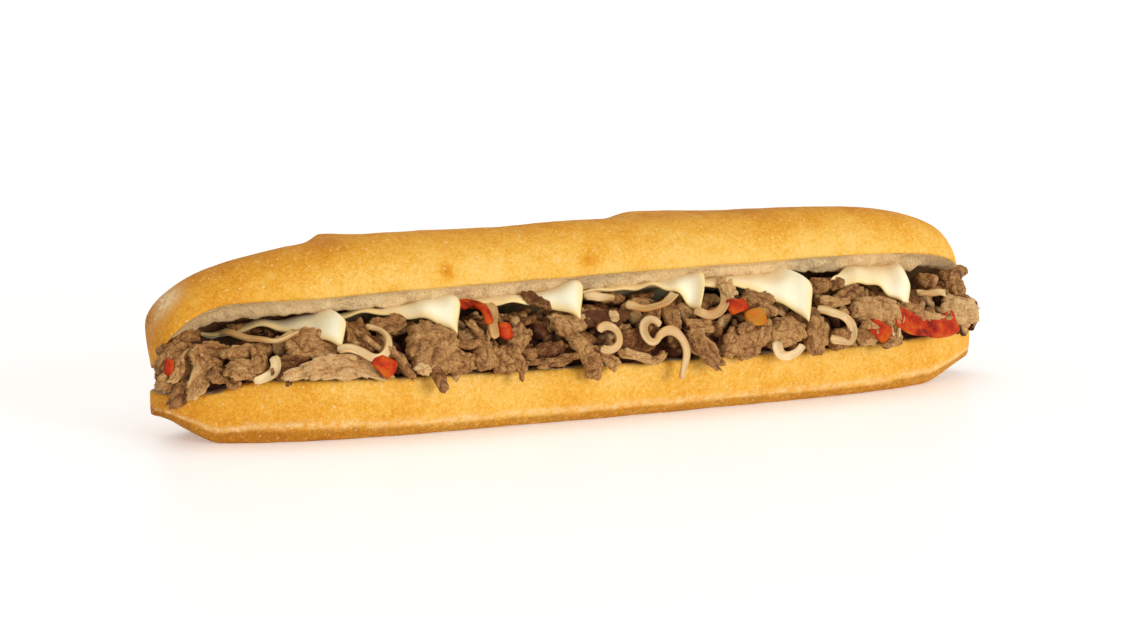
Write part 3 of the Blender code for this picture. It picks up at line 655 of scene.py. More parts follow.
def half_roll(name, outline, low, high, stations=368):
    """One half of the roll as a closed mesh of fine rings, a little closer together towards its tips."""
    rings = []
    for k in range(1, stations):
        t = 2 * k / stations - 1
        share = 0.55 * t + 0.45 * math.sin(math.pi / 2 * t)
        rings.append(outline((low + high) / 2 + (high - low) / 2 * share))
    count = len(rings[0])
    vertices, faces = np.vstack(rings), ring_faces(len(rings), count)
    for ring, x in ((0, low), (len(rings) - 1, high)):
        tip = rings[ring].mean(axis=0)
        tip[0] = x
        vertices = np.vstack([vertices, tip])
        for i in range(count):
            faces.append((len(vertices) - 1, ring * count + i, ring * count + (i + 1) % count))
    made = add_piece(name, vertices, faces, None)
    face_outwards(made)
    return made


def bake_in_place(made):
    """Applies every modifier by taking the evaluated mesh."""
    graph = bpy.context.evaluated_depsgraph_get()
    data = bpy.data.meshes.new_from_object(made.evaluated_get(graph), preserve_all_data_layers=True, depsgraph=graph)
    made.modifiers.clear()
    made.data = data


def crumb_relief(at, from_lip, fade):
    """How far the torn crumb lies under its cut face, how porous it is and how much painted shade it gets. Under the
    upper half it swells down on the filling and ends in a ragged edge, and behind that it is darkened with painted
    shade."""
    near, _ = noise.voronoi(at / 0.0034)
    hole, shade_behind_edge = smooth((0.42 - near[0]) / 0.35) * smooth(noise.noise(at / 0.007) * 2.2 + 0.10), 0.0
    small = smooth(0.5 + noise.noise(at / 0.0022))
    depth = 0.00040 * hole - 0.00030 * noise.noise(at / 0.005) + 0.00016 * (small - 0.5)
    if from_lip is not None:
        ragged = CRUMB_EDGE + 0.0016 * noise.noise(at / 0.014) + 0.0014 * noise.noise(at / 0.0036)
        swell = CRUMB_SWELL * (1 + 0.45 * noise.noise(at / 0.005) + 0.35 * noise.noise(at / 0.0022))
        depth -= swell * smooth((from_lip - ragged + 0.0055) / 0.0055) * (1 - smooth((from_lip - ragged) / 0.0012))
        hole = max(hole, smooth((from_lip - ragged + 0.0014) / 0.0016) * 0.8)
        depth *= smooth((from_lip - 0.0004) / 0.0012)
        # Painted shade in the hollow behind the ragged edge.
        shade_behind_edge = smooth((from_lip - ragged + 0.0008) / 0.0022)
    return depth * fade, min(1.0, hole * 0.8 + small * 0.15), shade_behind_edge


def blotch(x, above, place, up, reach, strength):
    """A round soft mark on the upper crust, as strong as it is at a point x along and `above` over the cut."""
    return strength * math.exp(-((x - place) ** 2 + (above - up) ** 2) / reach ** 2)


def add_roll():
    """The roll: both halves joined at the hinge, with crust relief, a torn porous crumb, and colour that is partly
    baked brown and partly painted shade.
    """
    roll = half_roll("golden_roll", lower_outline, -SIDE, SIDE)
    upper = half_roll("upper_half", upper_outline, -SIDE, SIDE - UPPER_SHORTER)
    join = roll.modifiers.new("join", "BOOLEAN")
    join.operation, join.solver, join.object = "UNION", "MANIFOLD", upper
    bake_in_place(roll)
    bpy.data.objects.remove(upper)
    data = roll.data
    place = points_of(data)
    normals = np.empty(len(data.vertices) * 3, dtype=np.float32)
    data.vertex_normals.foreach_get("vector", normals)
    normals = normals.reshape(-1, 3)
    shades = {key: np.zeros(len(place), dtype=np.float32) for key in SHADES}
    moved = place.copy()
    for k in range(len(place)):
        x, y, z = (float(v) for v in place[k])
        turn = opening(x)
        cy, cz = closed(x, y, z)
        cz += nose_drop(x, cy)
        face, at = Vector(normals[k]), Vector((x, y, z))
        half = upper_half_width(x)
        faces_down = face.dot(Vector((0, -math.sin(turn), -math.cos(turn))))
        inside_lip = cy > -half * UPPER_FLAT + 0.0007 and (x > 0 or half > 0.0075)
        on_upper_cut = abs(cz) < 0.0009 and faces_down > 0.72 and inside_lip
        on_lower_cut = abs(z - rim_height(x)) < 0.0008 and face.z > 0.85
        upper = on_upper_cut or (cz > -0.0012 and z > cut_height(x) + 0.0006)
        end = smooth((abs(x) - 0.085) / 0.062)
        broad, middle = noise.noise(at / BROAD_NOISE), noise.noise(at / MIDDLE_NOISE)
        if on_upper_cut or on_lower_cut:
            fade = smooth((half - 0.005) / 0.008) * (1 - smooth((x - 0.124) / 0.012))
            depth, hole, shade_behind_edge = crumb_relief(at, cy + half * UPPER_FLAT if on_upper_cut else None, fade)
            moved[k] -= normals[k] * depth
            # Painted shade: the crumb is darker towards the roll's ends, added to its pores.
            shades["pore_and_end_shade"][k], shades["crumb"][k], shades["shade_behind_edge"][k] = min(1.0, hole + 0.7 * end), 1.0, shade_behind_edge
        else:
            moved[k] += normals[k] * (0.00022 * broad + 0.00012 * middle + 0.00004 * noise.noise(at / FINE_NOISE))
        if upper:
            high = smooth(cz / (DOME_HEIGHT * 1.05))
            # Browner on top and at the ends, partly from baking and partly painted shade; the left end is darker still
            # with painted shade, as the light comes from the right.
            shade = 0.08 + 0.52 * high ** 1.1 + (0.40 if x < 0 else 0.16) * end + 0.10 * broad
            marks = sum(blotch(x, cz, *form) for form in BLOTCHES)
            shades["bake_and_shade"][k] = shade + marks * smooth((0.02 - cy) / 0.02)
            shades["dusted"][k] = blotch(x, cz, *DUSTED) * smooth((0.004 - cy) / 0.008)
        else:
            low = base_lift(x)
            up = (z - low) / max(rim_height(x) - low, 1e-4)
            ledge = 0.205 + 0.05 * smooth((abs(x) - 0.06) / 0.08) + 0.04 * middle
            under = smooth((ledge - up) / 0.05)
            # Darker towards the bottom and in the base band, browner at the ends; the left end is darker still with
            # painted shade, as the light comes from the right.
            shades["bake_and_shade"][k] = (0.16 + 0.12 * smooth((0.85 - up) / 0.5) + 0.20 * under + 0.12 * broad
                                 + (0.26 if x < 0 else 0.08) * end)
            shades["base_band"][k] = under
            shades["ledge"][k] = math.exp(-((up - ledge - 0.045) / 0.055) ** 2)
    moved[:, 2] = np.maximum(moved[:, 2], 0.0)
    data.vertices.foreach_set("co", moved.ravel())
    for key, values in shades.items():
        data.attributes.new(key, "FLOAT", "POINT").data.foreach_set("value", values)
    data.materials.clear()
    data.materials.append(crust_surface())
    data.materials.append(crumb_surface())
    index = [1 if shades["crumb"][list(face.vertices)].mean() > 0.6 else 0 for face in data.polygons]
    data.polygons.foreach_set("material_index", index)
    data.shade_smooth()
    data.update()
    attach(roll, "root")
    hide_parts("roll")


def cheese_frame(number):
    """The tip of a slice and the two edges that leave it, along the heap and up it."""
    tip_x, tip_along = CHEESE_TIPS[number - 1]
    lean = math.radians(CHEESE_LEAN_DEG)
    leg = CHEESE_LEG * (1 - CHEESE_END_TRIM * smooth((abs(tip_x) - CHEESE_TRIM_START) / CHEESE_TRIM_SPAN))
    return tip_x, tip_along, (-math.cos(lean) * leg, math.sin(lean) * leg), (math.sin(lean) * leg, math.cos(lean) * leg)


def cheese_rise(number, climb):
    """The left side of a slice climbs away from its tip and then hangs level."""
    rise = CHEESE_FORMS[number - 1][0]
    return rise * (1 - math.exp(-CHEESE_FOLD * climb / rise))


def cheese_point(number, a, b, lift):
    """A point of a slice, a of the way to its left corner and b of the way to its back corner."""
    tip_x, tip_along, left, right = cheese_frame(number)
    corner, dish, ripple, draw_in = CHEESE_FORMS[number - 1][1:]
    x = tip_x + left[0] * a + right[0] * b
    along = tip_along + cheese_rise(number, left[1] * a) + right[1] * b
    x -= draw_in * smooth((b - 0.18) / 0.20) * (1 - smooth(a / 0.5))
    out = CHEESE_ROOM * 0.57 + CHEESE_SHINGLE * (x - tip_x) + 0.0027 * smooth((along - 0.014) / 0.010)
    near_front = smooth((0.030 - along) / 0.012)
    waves = math.sin(x * 330 + along * 120 + number * 1.7) + 0.6 * math.sin(x * 610 - along * 260)
    out += ripple * near_front * waves
    out += corner * math.exp(-((b - 0.19) / 0.07) ** 2 - (a / 0.10) ** 2)
    out -= dish * math.exp(-((a - 0.17) / 0.13) ** 2 - ((b - 0.16) / 0.10) ** 2)
    out += corner * 0.5 * math.exp(-(a ** 2 + b ** 2) / 0.05 ** 2)
    out -= 0.0010 * math.exp(-((a - 0.30) / 0.16) ** 2 - ((b - 0.05) / 0.20) ** 2)
    return over_heap(x, along, out + lift)[0]


def add_cheese(number, material, cells=56):
    """A draped triangle of sliced cheese with soft rounded edges."""
    vertices, faces, rim, warmth_and_shade, index = [], [], [], [], {}
    half = CHEESE_THICK / 2 * 1.12
    for side in (1, -1):
        for i in range(cells + 1):
            for j in range(cells + 1 - i):
                edge = min(i, j, cells - i - j)
                index[side, i, j] = len(vertices)
                lift = half * (0.60, 0.90, 1.0)[min(edge, 2)]
                vertices.append(cheese_point(number, i / cells, j / cells, side * lift))
                rim.append((1.0, 0.5, 0.1, 0.0)[min(edge, 3)])
                # Warmer and darker towards the bread: partly the cheese's own colour, partly painted shade.
                warmth_and_shade.append(0.75 * smooth(((i + j) / cells - 0.16) / 0.42))
        for i in range(cells):
            for j in range(cells - i):
                faces.append((index[side, i, j], index[side, i + 1, j], index[side, i, j + 1]))
                if i + j + 1 < cells:
                    faces.append((index[side, i + 1, j], index[side, i + 1, j + 1], index[side, i, j + 1]))
    border = [(k, 0) for k in range(cells)] + [(cells - k, k) for k in range(cells)]
    border += [(0, cells - k) for k in range(cells)]
    middle = []
    for i, j in border:
        a, b = i / cells, j / cells
        middle.append(len(vertices))
        vertices.append(cheese_point(number, a + (a - 1 / 3) * 0.022, b + (b - 1 / 3) * 0.022, 0.0))
        rim.append(1.0)
        warmth_and_shade.append(0.5)
    for k in range(len(border)):
        n = (k + 1) % len(border)
        top, low = (index[1, *border[k]], index[1, *border[n]]), (index[-1, *border[k]], index[-1, *border[n]])
        faces.append((top[0], top[1], middle[n], middle[k]))
        faces.append((middle[k], middle[n], low[1], low[0]))
    made = add_piece("cheese_slice_%d" % number, vertices, faces, material, {"rim": rim, "warmth_and_shade": warmth_and_shade})
    face_outwards(made)
    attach(made, "root")
    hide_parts("cheese_%d" % number)


def under_cheese(x, along, margin):
    """Whether a place on the heap's front lies under one of the slices, or nearly."""
    for number in range(1, len(CHEESE_TIPS) + 1):
        tip_x, tip_along, left, right = cheese_frame(number)
        slack, b = margin / math.hypot(*left), 0.0
        for _ in range(6):
            a = (x - tip_x - right[0] * b) / left[0]
            b = (along - tip_along - cheese_rise(number, left[1] * max(a, 0.0))) / right[1]
        if a > -slack and b > -slack and a + b < 1 + slack:
            return True
    return False


def face_outwards(made):
    mesh = bmesh.new()
    mesh.from_mesh(made.data)
    bmesh.ops.recalc_face_normals(mesh, faces=mesh.faces)
    mesh.to_mesh(made.data)
    mesh.free()
    made.data.shade_smooth()


def strip_path(shape, steps):
    """The places (x, along) that a strip runs through, as its bends turn its heading."""
    x, along, heading, length, bends = shape[:5]
    angle, places = math.radians(heading), []
    for k in range(steps + 1):
        places.append((x, along))
        angle += math.radians(bends[min(int(k / steps * len(bends)), len(bends) - 1)]) * len(bends) / steps
        x += math.cos(angle) * length / steps
        along += math.sin(angle) * length / steps
    return places


def add_strip(name, shape, size, material, node, tone, twist=0.6, hollow=0.5):
    """A strip of onion or pepper: a slightly hollow ribbon that follows the heap's front and twists a little."""
    length, sides, phase = shape[3], 14, random.Random(name).uniform(0, 6)
    steps = max(16, int(length / 0.0005))
    path = [over_heap(*place, STRIP_OUT + 0.0003 * math.sin(k * 0.35))
            for k, place in enumerate(strip_path(shape, steps))]
    vertices, own, tones, rim = [], [], [], []
    for k, (place, normal) in enumerate(path):
        ahead = (path[min(k + 2, steps)][0] - path[max(k - 2, 0)][0]).normalized()
        up = Matrix.Rotation(twist * math.sin(k / steps * 3.5 + phase), 3, ahead) @ normal
        across = ahead.cross(up).normalized()
        up = across.cross(ahead)
        end = min(k, steps - k) * length / steps
        round_off = math.sqrt(max(0.0, 1 - max(0.0, 1 - end / (size[1] * 0.6)) ** 2)) * 0.85 + 0.15
        wide = size[0] / 2 * (1 + 0.32 * noise.noise(Vector((k * 0.06, phase, 0)))) * round_off
        thick = size[1] / 2 * (1 + 0.25 * noise.noise(Vector((k * 0.09, phase, 4)))) * round_off
        for i in range(sides):
            t = 2 * math.pi * i / sides
            u, v = boxy(math.cos(t), 0.75), boxy(math.sin(t), 0.8)
            lift = thick * v + hollow * wide * (u * u - 0.4)
            vertices.append(place + across * (wide * u) + up * lift)
            own.append((k * length / steps + phase, wide * u, lift))
            tones.append(tone + 0.25 * noise.noise(Vector((k * 0.04, phase, 9))))
            rim.append(abs(u) ** 3 * (0.6 + 0.8 * noise.noise(Vector((k * 0.05, phase, 20 + u)))))
    faces = ring_faces(steps + 1, sides) + [tuple(range(sides)), tuple(range(steps * sides, (steps + 1) * sides))]
    made = add_piece(name, vertices, faces, material, {"own_place": own, "tone": tones, "rim": rim})
    face_outwards(made)
    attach(made, "root")
    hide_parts(node)


def beef_slice(seed, long, wide, thick=0.0010, rings=9, spokes=30, curl=0.0, ruffle=0.0, crumple=0.35, plump=0.2):
    """Points, faces and attributes of one crumpled, creased piece of chopped beef that lies flat around its origin."""
    rng = random.Random(seed)
    shift = Vector((rng.uniform(-50, 50), rng.uniform(-50, 50), rng.uniform(-50, 50)))
    waves, phase, bow = rng.choice((3, 4, 5)), rng.uniform(0, 6), rng.uniform(-0.22, 0.22) / long
    skew = rng.uniform(-0.25, 0.25)
    vertices, own, rim, crease_shade, faces, index = [], [], [], [], [], {}

    def spot(radius, angle, side):
        around = Vector((math.cos(angle), math.sin(angle), 0))
        craggy = 1 + 0.22 * noise.noise(around * 1.3 + shift) + 0.17 * noise.noise(around * 3.4 + shift)
        craggy += 0.13 * noise.noise(around * 8 + shift)
        u, v = boxy(around.x) * long * craggy * radius, boxy(around.y) * wide * craggy * radius
        u, v = u + skew * v, v + bow * u * u
        at = Vector((u, v, 0))
        ridges = 0.75 * noise.noise(at / 0.0085 + shift) + 0.34 * noise.noise(at / 0.0036 + shift)
        w = crumple * min(long, 0.008) * ridges
        w += ruffle * radius ** 2.5 * math.sin(waves * angle + phase)
        body = thick * ((1 - plump) * (1 - 0.42 * radius ** 4) + plump * math.sqrt(max(0.0, 1 - radius ** 2)))
        body *= 1 + 0.45 * noise.noise(at / 0.004 + shift * 2)
        where = Vector((u, v, side * body)) + shift
        folds, grains = abs(noise.noise(where / 0.0036)), abs(noise.noise(where / 0.0015))
        swell = 0.00120 * (folds - 0.22) + 0.00055 * (grains - 0.22)
        swell += 0.00010 * noise.noise(Vector((u / 0.0030, v / 0.0010, side)) + shift)
        push = 1 + swell / max(wide, 0.002) * 0.8
        u, v, w = u * push, v * push, w + side * (body + swell)
        # Painted shade where the folds and grains sink in.
        shade = (1 - min(folds / 0.14, 1.0)) * 0.8 + (1 - min(grains / 0.12, 1.0)) * 0.45
        if curl:
            turn = v * curl
            return Vector((u, (1 / curl - w) * math.sin(turn), (1 / curl) - (1 / curl - w) * math.cos(turn))), shade
        return Vector((u, v, w)), shade

    def add(radius, angle, side, edge):
        point, shade = spot(radius, angle, side)
        vertices.append(point)
        own.append(tuple(point + shift * 0.1))
        rim.append(edge)
        crease_shade.append(min(shade, 1.0))
        return len(vertices) - 1

    for side in (1, -1):
        index[side, 0] = [add(0, 0, side, 0.0)] * spokes
        for r in range(1, rings + 1):
            radius = (r / rings) ** 0.85 * (0.955 if r == rings else 1)
            brim = smooth((r / rings - 0.74) / 0.26) * (1 - plump)
            index[side, r] = [add(radius, 2 * math.pi * s / spokes, side, brim) for s in range(spokes)]
    edge = [add(1.0, 2 * math.pi * s / spokes, 0, 1.0 - plump) for s in range(spokes)]
    for s in range(spokes):
        n = (s + 1) % spokes
        for side in (1, -1):
            fan = [(index[side, 0][0], index[side, 1][s], index[side, 1][n])]
            for r in range(1, rings):
                here, out = index[side, r], index[side, r + 1]
                fan.append((here[s], out[s], out[n], here[n]))
            last = index[side, rings]
            fan.append((last[s], edge[s], edge[n], last[n]))
            faces += fan if side > 0 else [face[::-1] for face in fan]
    return vertices, faces, {"own_place": own, "rim": rim, "crease_shade": crease_shade}


def slice_kind(name, collection, seed, long, wide, **form):
    """A piece as an object of its own in a collection, ready to be strewn."""
    vertices, faces, stored = beef_slice(seed, long, wide, **form)
    made = add_piece(name, vertices, faces, None, stored)
    bpy.context.scene.collection.objects.unlink(made)
    collection.objects.link(made)


def scatter_tree(name):
    """Strews the pieces of a collection over a surface, each turned at random about the surface's direction."""
    tree = bpy.data.node_groups.new(name, "GeometryNodeTree")
    for way in ("INPUT", "OUTPUT"):
        tree.interface.new_socket("Geometry", in_out=way, socket_type="NodeSocketGeometry")
    for label, kind in (("Pieces", "Collection"), ("Spacing", "Float"), ("Most Per Area", "Float"),
                        ("Smallest", "Float"), ("Largest", "Float"), ("Lean", "Float"), ("Random Seed", "Int"),
                        ("Finish", "Material")):
        tree.interface.new_socket(label, in_out="INPUT", socket_type="NodeSocket" + kind)

    def add(kind, inputs=(), **settings):
        node = tree.nodes.new(kind)
        for key, value in settings.items():
            setattr(node, key, value)
        for key, value in inputs:
            node.inputs[key].default_value = value
        return node

    def in_use(sockets, label):
        """The socket of that name that is in use, as some nodes keep one for each kind of value."""
        return [s for s in sockets if s.name == label and s.enabled][0]

    given, out = add("NodeGroupInput"), add("NodeGroupOutput")
    room = add("GeometryNodeInputNamedAttribute", [("Name", "room")], data_type="FLOAT")
    points = add("GeometryNodeDistributePointsOnFaces", distribute_method="POISSON")
    pieces = add("GeometryNodeCollectionInfo", [("Separate Children", True), ("Reset Children", True)])
    minus = add("ShaderNodeMath", [(1, -1)], operation="MULTIPLY")
    low, high = add("ShaderNodeCombineXYZ", [("Z", -math.pi)]), add("ShaderNodeCombineXYZ", [("Z", math.pi)])
    lean = add("FunctionNodeRandomValue", data_type="FLOAT_VECTOR")
    turn, both = add("FunctionNodeEulerToRotation"), add("FunctionNodeRotateRotation", rotation_space="LOCAL")
    size = add("FunctionNodeRandomValue", data_type="FLOAT")
    put = add("GeometryNodeInstanceOnPoints", [("Pick Instance", True)])
    tone = add("FunctionNodeRandomValue", [("Seed", 77)], data_type="FLOAT")
    store = add("GeometryNodeStoreNamedAttribute", [("Name", "tone")], data_type="FLOAT", domain="INSTANCE")
    real, finish = add("GeometryNodeRealizeInstances"), add("GeometryNodeSetMaterial")
    for source, label, target, socket in (
            (given, "Geometry", points, "Mesh"), (given, "Spacing", points, "Distance Min"),
            (given, "Most Per Area", points, "Density Max"), (room, "Attribute", points, "Density Factor"),
            (given, "Random Seed", points, "Seed"), (given, "Pieces", pieces, "Collection"),
            (given, "Lean", minus, "Value"), (minus, "Value", low, "X"), (minus, "Value", low, "Y"),
            (given, "Lean", high, "X"), (given, "Lean", high, "Y"), (low, "Vector", lean, "Min"),
            (high, "Vector", lean, "Max"), (given, "Random Seed", lean, "Seed"), (lean, "Value", turn, "Euler"),
            (points, "Rotation", both, "Rotation"), (turn, "Rotation", both, "Rotate By"),
            (given, "Smallest", size, "Min"), (given, "Largest", size, "Max"), (given, "Random Seed", size, "Seed"),
            (points, "Points", put, "Points"), (pieces, "Instances", put, "Instance"),
            (both, "Rotation", put, "Rotation"), (size, "Value", put, "Scale"),
            (put, "Instances", store, "Geometry"), (tone, "Value", store, "Value"),
            (store, "Geometry", real, "Geometry"), (real, "Geometry", finish, "Geometry"),
            (given, "Finish", finish, "Material"), (finish, "Geometry", out, "Geometry")):
        tree.links.new(in_use(source.outputs, label), in_use(target.inputs, socket))
    return tree


def strew(name, tree, sheet, values):
    """Runs the scatter on a sheet object and leaves its result as a plain mesh under a new name."""
    sheet.name = name
    step = sheet.modifiers.new("scatter", "NODES")
    step.node_group = tree
    for item in tree.interface.items_tree:
        if item.in_out == "INPUT" and item.name in values:
            step[item.identifier] = values[item.name]
    bake_in_place(sheet)
    sheet.data.shade_smooth()
    return sheet


def heap_sheet(name, out, low, high, keep_clear=(), patchy=False, covered=False, columns=230, rows=26):
    """The heap's front as a grid, with an attribute that says how much room there is for beef at each point, or with
    room only where the cheese covers it."""
    vertices, room, faces = [], [], []
    for c in range(columns + 1):
        x = HEAP_SHIFT + (SIDE - SHEET_INSET) * (2 * c / columns - 1)
        end = smooth((SIDE - SHEET_INSET - abs(x - HEAP_SHIFT)) / 0.02)
        for r in range(rows + 1):
            along = low + (high - low) * r / rows
            vertices.append(over_heap(x, along * (0.35 + 0.65 * end), out)[0])
            near = min((math.hypot(x - px, along - pa) / reach for px, pa, reach in keep_clear), default=9.0)
            share = smooth((near - 0.75) / 0.4)
            if patchy:
                share *= smooth((noise.noise(Vector((x, along * 1.3, out * 900)) / 0.011) + 0.42) / 0.25)
            if covered:
                share = float(along > 0.0205 or under_cheese(x, along, 0.0040))
            elif keep_clear and under_cheese(x, along, 0.0022):
                share = 0.0
            room.append(share)
    for c in range(columns):
        for r in range(rows):
            k = c * (rows + 1) + r
            faces.append((k, k + rows + 1, k + rows + 2, k + 1))
    return add_piece(name, vertices, faces, None, {"room": room})


def strip_spots(shapes, reach):
    """Places along the strips that the larger slices of beef leave free."""
    return [(x, along, reach) for shape in shapes for x, along in strip_path(shape, 12)[:12]]


def beef_core(finish):
    """The middle of the heap, near black with painted shade, which only shows between the pieces of beef."""
    rings, count, vertices = 150, 48, []
    for r in range(1, rings):
        x = CORE_MIDDLE + CORE_REACH * math.sin(math.pi / 2 * (2 * r / rings - 1))
        centre, depth = heap_shape(x)[:2]
        low, half = rim_height(x) + 0.0004, min(plan_half_width(x - HEAP_SHIFT), plan_half_width(min(abs(x), SIDE)))
        back = min(HINGE_Y - 0.008, half * 0.85)
        front = [tuple(over_heap(x, along, -CORE_DEPTH)[0]) for along in np.linspace(0.0045, 0.030, 9)]
        front += [tuple(over_heap(x, along, -0.0008)[0]) for along in (0.035, 0.042, 0.049, 0.056)]
        front = front[1:3] + [p for p in front[3:] if p[1] < back - 0.0008]
        top = front[-1]
        ring = [(x, back, low), (x, centre - depth + CORE_DEPTH, low)] + front
        ring.append((x, back, max(top[2] - (back - top[1]) * math.tan(opening(x)), low + 0.001)))
        vertices.append(rounded_outline(ring, count, 0.0005))
    flat, nothing = np.vstack(vertices), np.zeros(len(vertices) * count)
    faces = ring_faces(len(vertices), count) + [tuple(range(count)), tuple(range(len(flat) - count, len(flat)))]
    made = add_piece("beef_core", flat, faces, finish, {"own_place": flat, "tone": nothing, "rim": nothing})
    face_outwards(made)
    return made


def open_ends(core):
    """A copy of the core with room for beef near the roll's ends, on its back, top and left face, where it shows."""
    room = []
    for x, y, z in points_of(core.data):
        behind = y > heap_shape(x)[0] + 0.001 and z > rim_height(x) + 0.002
        room.append(smooth((abs(x) - OPEN_END_START) / OPEN_END_SPAN) * (behind or x < CORE_LEFT_FACE))
    faces = [tuple(face.vertices) for face in core.data.polygons]
    return add_piece("sheet_4", points_of(core.data), faces, None, {"room": room})


def shade_depth(made, most=1.0):
    """Stores how far down each point lies in the heap, where painted shade makes the beef darker."""
    place = points_of(made.data)
    table = [(x, *heap_shape(x), cut_height(x)) for x in np.linspace(-SIDE, SIDE, 200)]
    xs, centre, depth, height, cut = (np.array(column) for column in zip(*table))
    centre, depth, height, cut = (np.interp(place[:, 0], xs, values) for values in (centre, depth, height, cut))
    front = np.minimum(place[:, 1] - centre, 0.0) / depth
    out = np.sqrt(front ** 2 + (np.maximum(place[:, 2] - cut, 0.0) / height) ** 2)
    under = np.clip(((1 - out) * 0.018 - 0.0006) / 0.0020, 0, 1)
    values = (most * under * under * (3 - 2 * under)).astype(np.float32)
    made.data.attributes.new("painted_depth_shade", "FLOAT", "POINT").data.foreach_set("value", values)


def laid_pieces(name, rows, finish):
    """Single pieces laid one by one on the heap: each row gives the place, the way it is turned and its form."""
    vertices, faces, stored = [], [], {"own_place": [], "rim": [], "crease_shade": [], "tone": []}
    for k, (x, along, out, turn, long, wide, thick, plump, tone, *bend) in enumerate(rows):
        roll, curl = bend or (0, 0)
        rings = min(max(int((wide + thick) / LAID_RING_STEP), 7), 17)
        spokes = min(max(int((long + wide) * math.pi / LAID_SPOKE_STEP), 24), 84)
        points, sides, own = beef_slice(300 + k, long / 1000, wide / 1000, thick=thick / 1000, rings=rings,
                                        spokes=spokes, curl=curl, crumple=0.26 * (1 - plump * 0.7), plump=plump)
        place, normal = over_heap(x / 1000, along / 1000, out / 1000)
        ahead = Vector((1, 0, 0))
        up = normal.cross(ahead).normalized()
        spin = Matrix.Rotation(math.radians(turn), 3, "Z") @ Matrix.Rotation(math.radians(roll), 3, "X")
        turned = Matrix((ahead, up, normal)).transposed() @ spin
        faces += [tuple(i + len(vertices) for i in face) for face in sides]
        vertices += [place + turned @ point for point in points]
        for key, values in own.items():
            stored[key] += values
        stored["tone"] += [tone] * len(points)
    made = add_piece(name, vertices, faces, finish, stored)
    face_outwards(made)
    return made


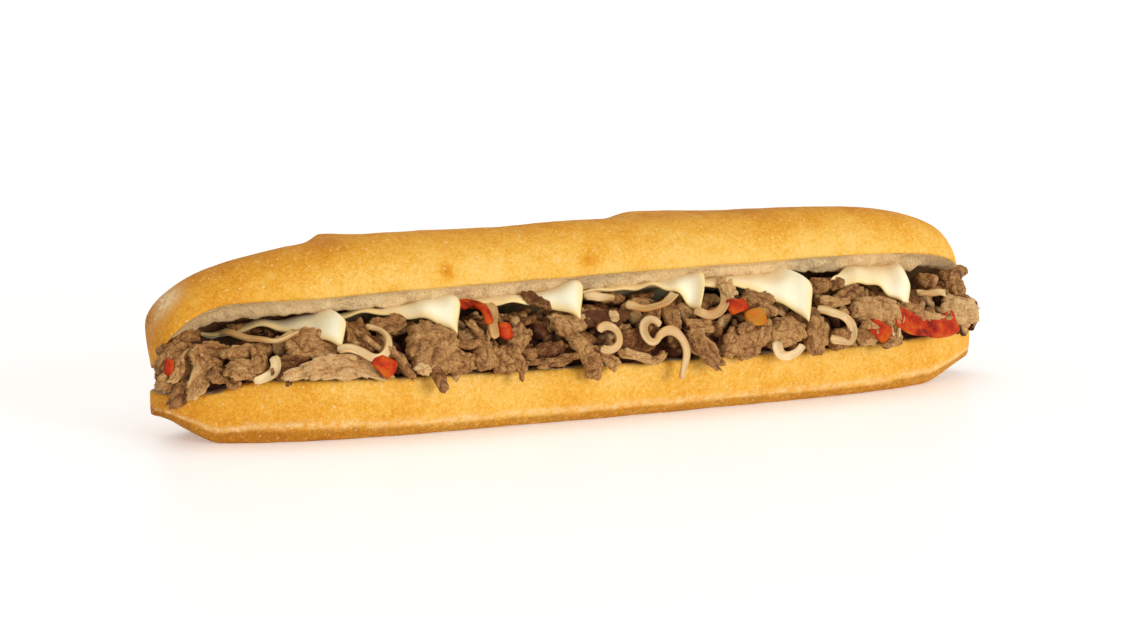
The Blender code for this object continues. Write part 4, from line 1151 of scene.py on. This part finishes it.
def add_beef():
    """The chopped beef: a core in painted shade, small lumps packed over it and its ends, larger pieces, and some laid
    one by one.
    """
    finish, tree = beef_surface(), scatter_tree("strewn_beef")
    small, large = bpy.data.collections.new("small_pieces"), bpy.data.collections.new("large_pieces")
    for k in range(10):
        slice_kind("small_%d" % k, small, k, 0.0040, 0.0028, thick=0.0014, rings=6, spokes=20, crumple=0.4,
                   curl=(0, 90, -70)[k % 3], plump=0.7)
    for k in range(14):
        slice_kind("large_%d" % k, large, 40 + k, 0.0054 + 0.0030 * (k * 0.618 % 1), 0.0036 + 0.0018 * (k * 0.382 % 1),
                   thick=0.0013 + 0.0009 * (k * 0.27 % 1), rings=10, spokes=38,
                   curl=(0, 130, -110, 70, 0, -90, 60)[k % 7], ruffle=(0.0006, 0.0002, 0.0010)[k % 3],
                   plump=(0.8, 0.3, 0.6, 0.5)[k % 4])
    clear = strip_spots(ONIONS, 0.0034) + strip_spots(PEPPERS, 0.0050)
    clear += [(x / 1000, along / 1000, reach / 1000) for x, along, reach in HOLLOWS]
    core = beef_core(finish)
    made = [core]
    for name, sheet, kinds, *values in (
            ("beef_pieces", heap_sheet("sheet", -0.0034, 0.0028, 0.0300), small, 0.0031, 90000.0, 0.75, 1.35, 0.8, 4),
            ("beef_slices", heap_sheet("sheet_2", -0.0010, 0.0066, 0.0285, clear, patchy=True), large,
             0.0066, 22000.0, 0.60, 1.0, 0.6, 9),
            ("covered_pieces", heap_sheet("sheet_3", -0.0020, 0.0080, 0.0320, covered=True), small,
             0.0036, 70000.0, 0.75, 1.15, 0.45, 6),
            ("end_pieces", open_ends(core), small, 0.0030, 90000.0, 0.75, 1.20, 0.7, 12)):
        labels = ("Spacing", "Most Per Area", "Smallest", "Largest", "Lean", "Random Seed")
        made.append(strew(name, tree, sheet, {"Pieces": kinds, "Finish": finish, **dict(zip(labels, values))}))
    half = len(LAID) // 2
    made += [laid_pieces("laid_left", LAID[:half], finish), laid_pieces("laid_right", LAID[half:], finish)]
    for piece in made:
        shade_depth(piece, most=0.30 if piece.name == "end_pieces" else 1.0)
        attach(piece, "root")
        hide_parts("beef")
    for group in (small, large):
        for old in list(group.objects):
            bpy.data.objects.remove(old)
        bpy.data.collections.remove(group)


def add_stage():
    """A plain pale floor, a soft white surround, two broad soft lights and the camera at the photograph's angle."""
    corners = [(-30, -30, 0), (30, -30, 0), (30, 30, 0), (-30, 30, 0)]
    floor = add_piece("floor", corners, [(0, 1, 2, 3)], floor_surface())
    world = bpy.data.worlds.new("surround")
    bpy.context.scene.world = world
    world.use_nodes = True
    sky = world.node_tree.nodes["Background"].inputs
    sky["Color"].default_value, sky["Strength"].default_value = (*SOFT_WHITE, 1), 0.62
    for name, towards, strength, angle in LIGHTS:
        light = bpy.data.lights.new(name, "SUN")
        light.energy, light.angle = strength, math.radians(angle)
        lamp = bpy.data.objects.new(name, light)
        lamp.rotation_euler = Vector(towards).to_track_quat("Z", "Y").to_euler()
        bpy.context.scene.collection.objects.link(lamp)
    bpy.context.scene.view_settings.view_transform = "Standard"
    yaw, pitch = math.radians(CAMERA_YAW_DEG), math.radians(CAMERA_PITCH_DEG)
    back = Vector((math.sin(yaw) * math.cos(pitch), -math.cos(yaw) * math.cos(pitch), math.sin(pitch)))
    lens = bpy.data.cameras.new("camera")
    lens.lens, lens.sensor_width, lens.clip_start = 85, 36, 0.01
    camera = bpy.data.objects.new("camera", lens)
    camera.location = Vector(CAMERA_TARGET) + back * CAMERA_DISTANCE
    camera.rotation_euler = (-back).to_track_quat("-Z", "Y").to_euler()
    bpy.context.scene.collection.objects.link(camera)
    bpy.context.scene.camera = camera


add_stage()
add_roll()
add_beef()
CHEESE = cheese_surface()
for number in range(1, len(CHEESE_TIPS) + 1):
    add_cheese(number, CHEESE)
ONION, PEPPER = onion_surface(), pepper_surface()
for number, shape in enumerate(ONIONS, 1):
    add_strip("onion_strip_%d" % number, shape, ONION_SIZE, ONION, "onion_%d" % number, shape[5])
for number, shape in enumerate(PEPPERS, 1):
    add_strip("pepper_strip_%d" % number, shape, (shape[5], PEPPER_THICK), PEPPER, "pepper_%d" % number,
              1.35 if number > 7 else 0.36, twist=0.25, hollow=0.15)
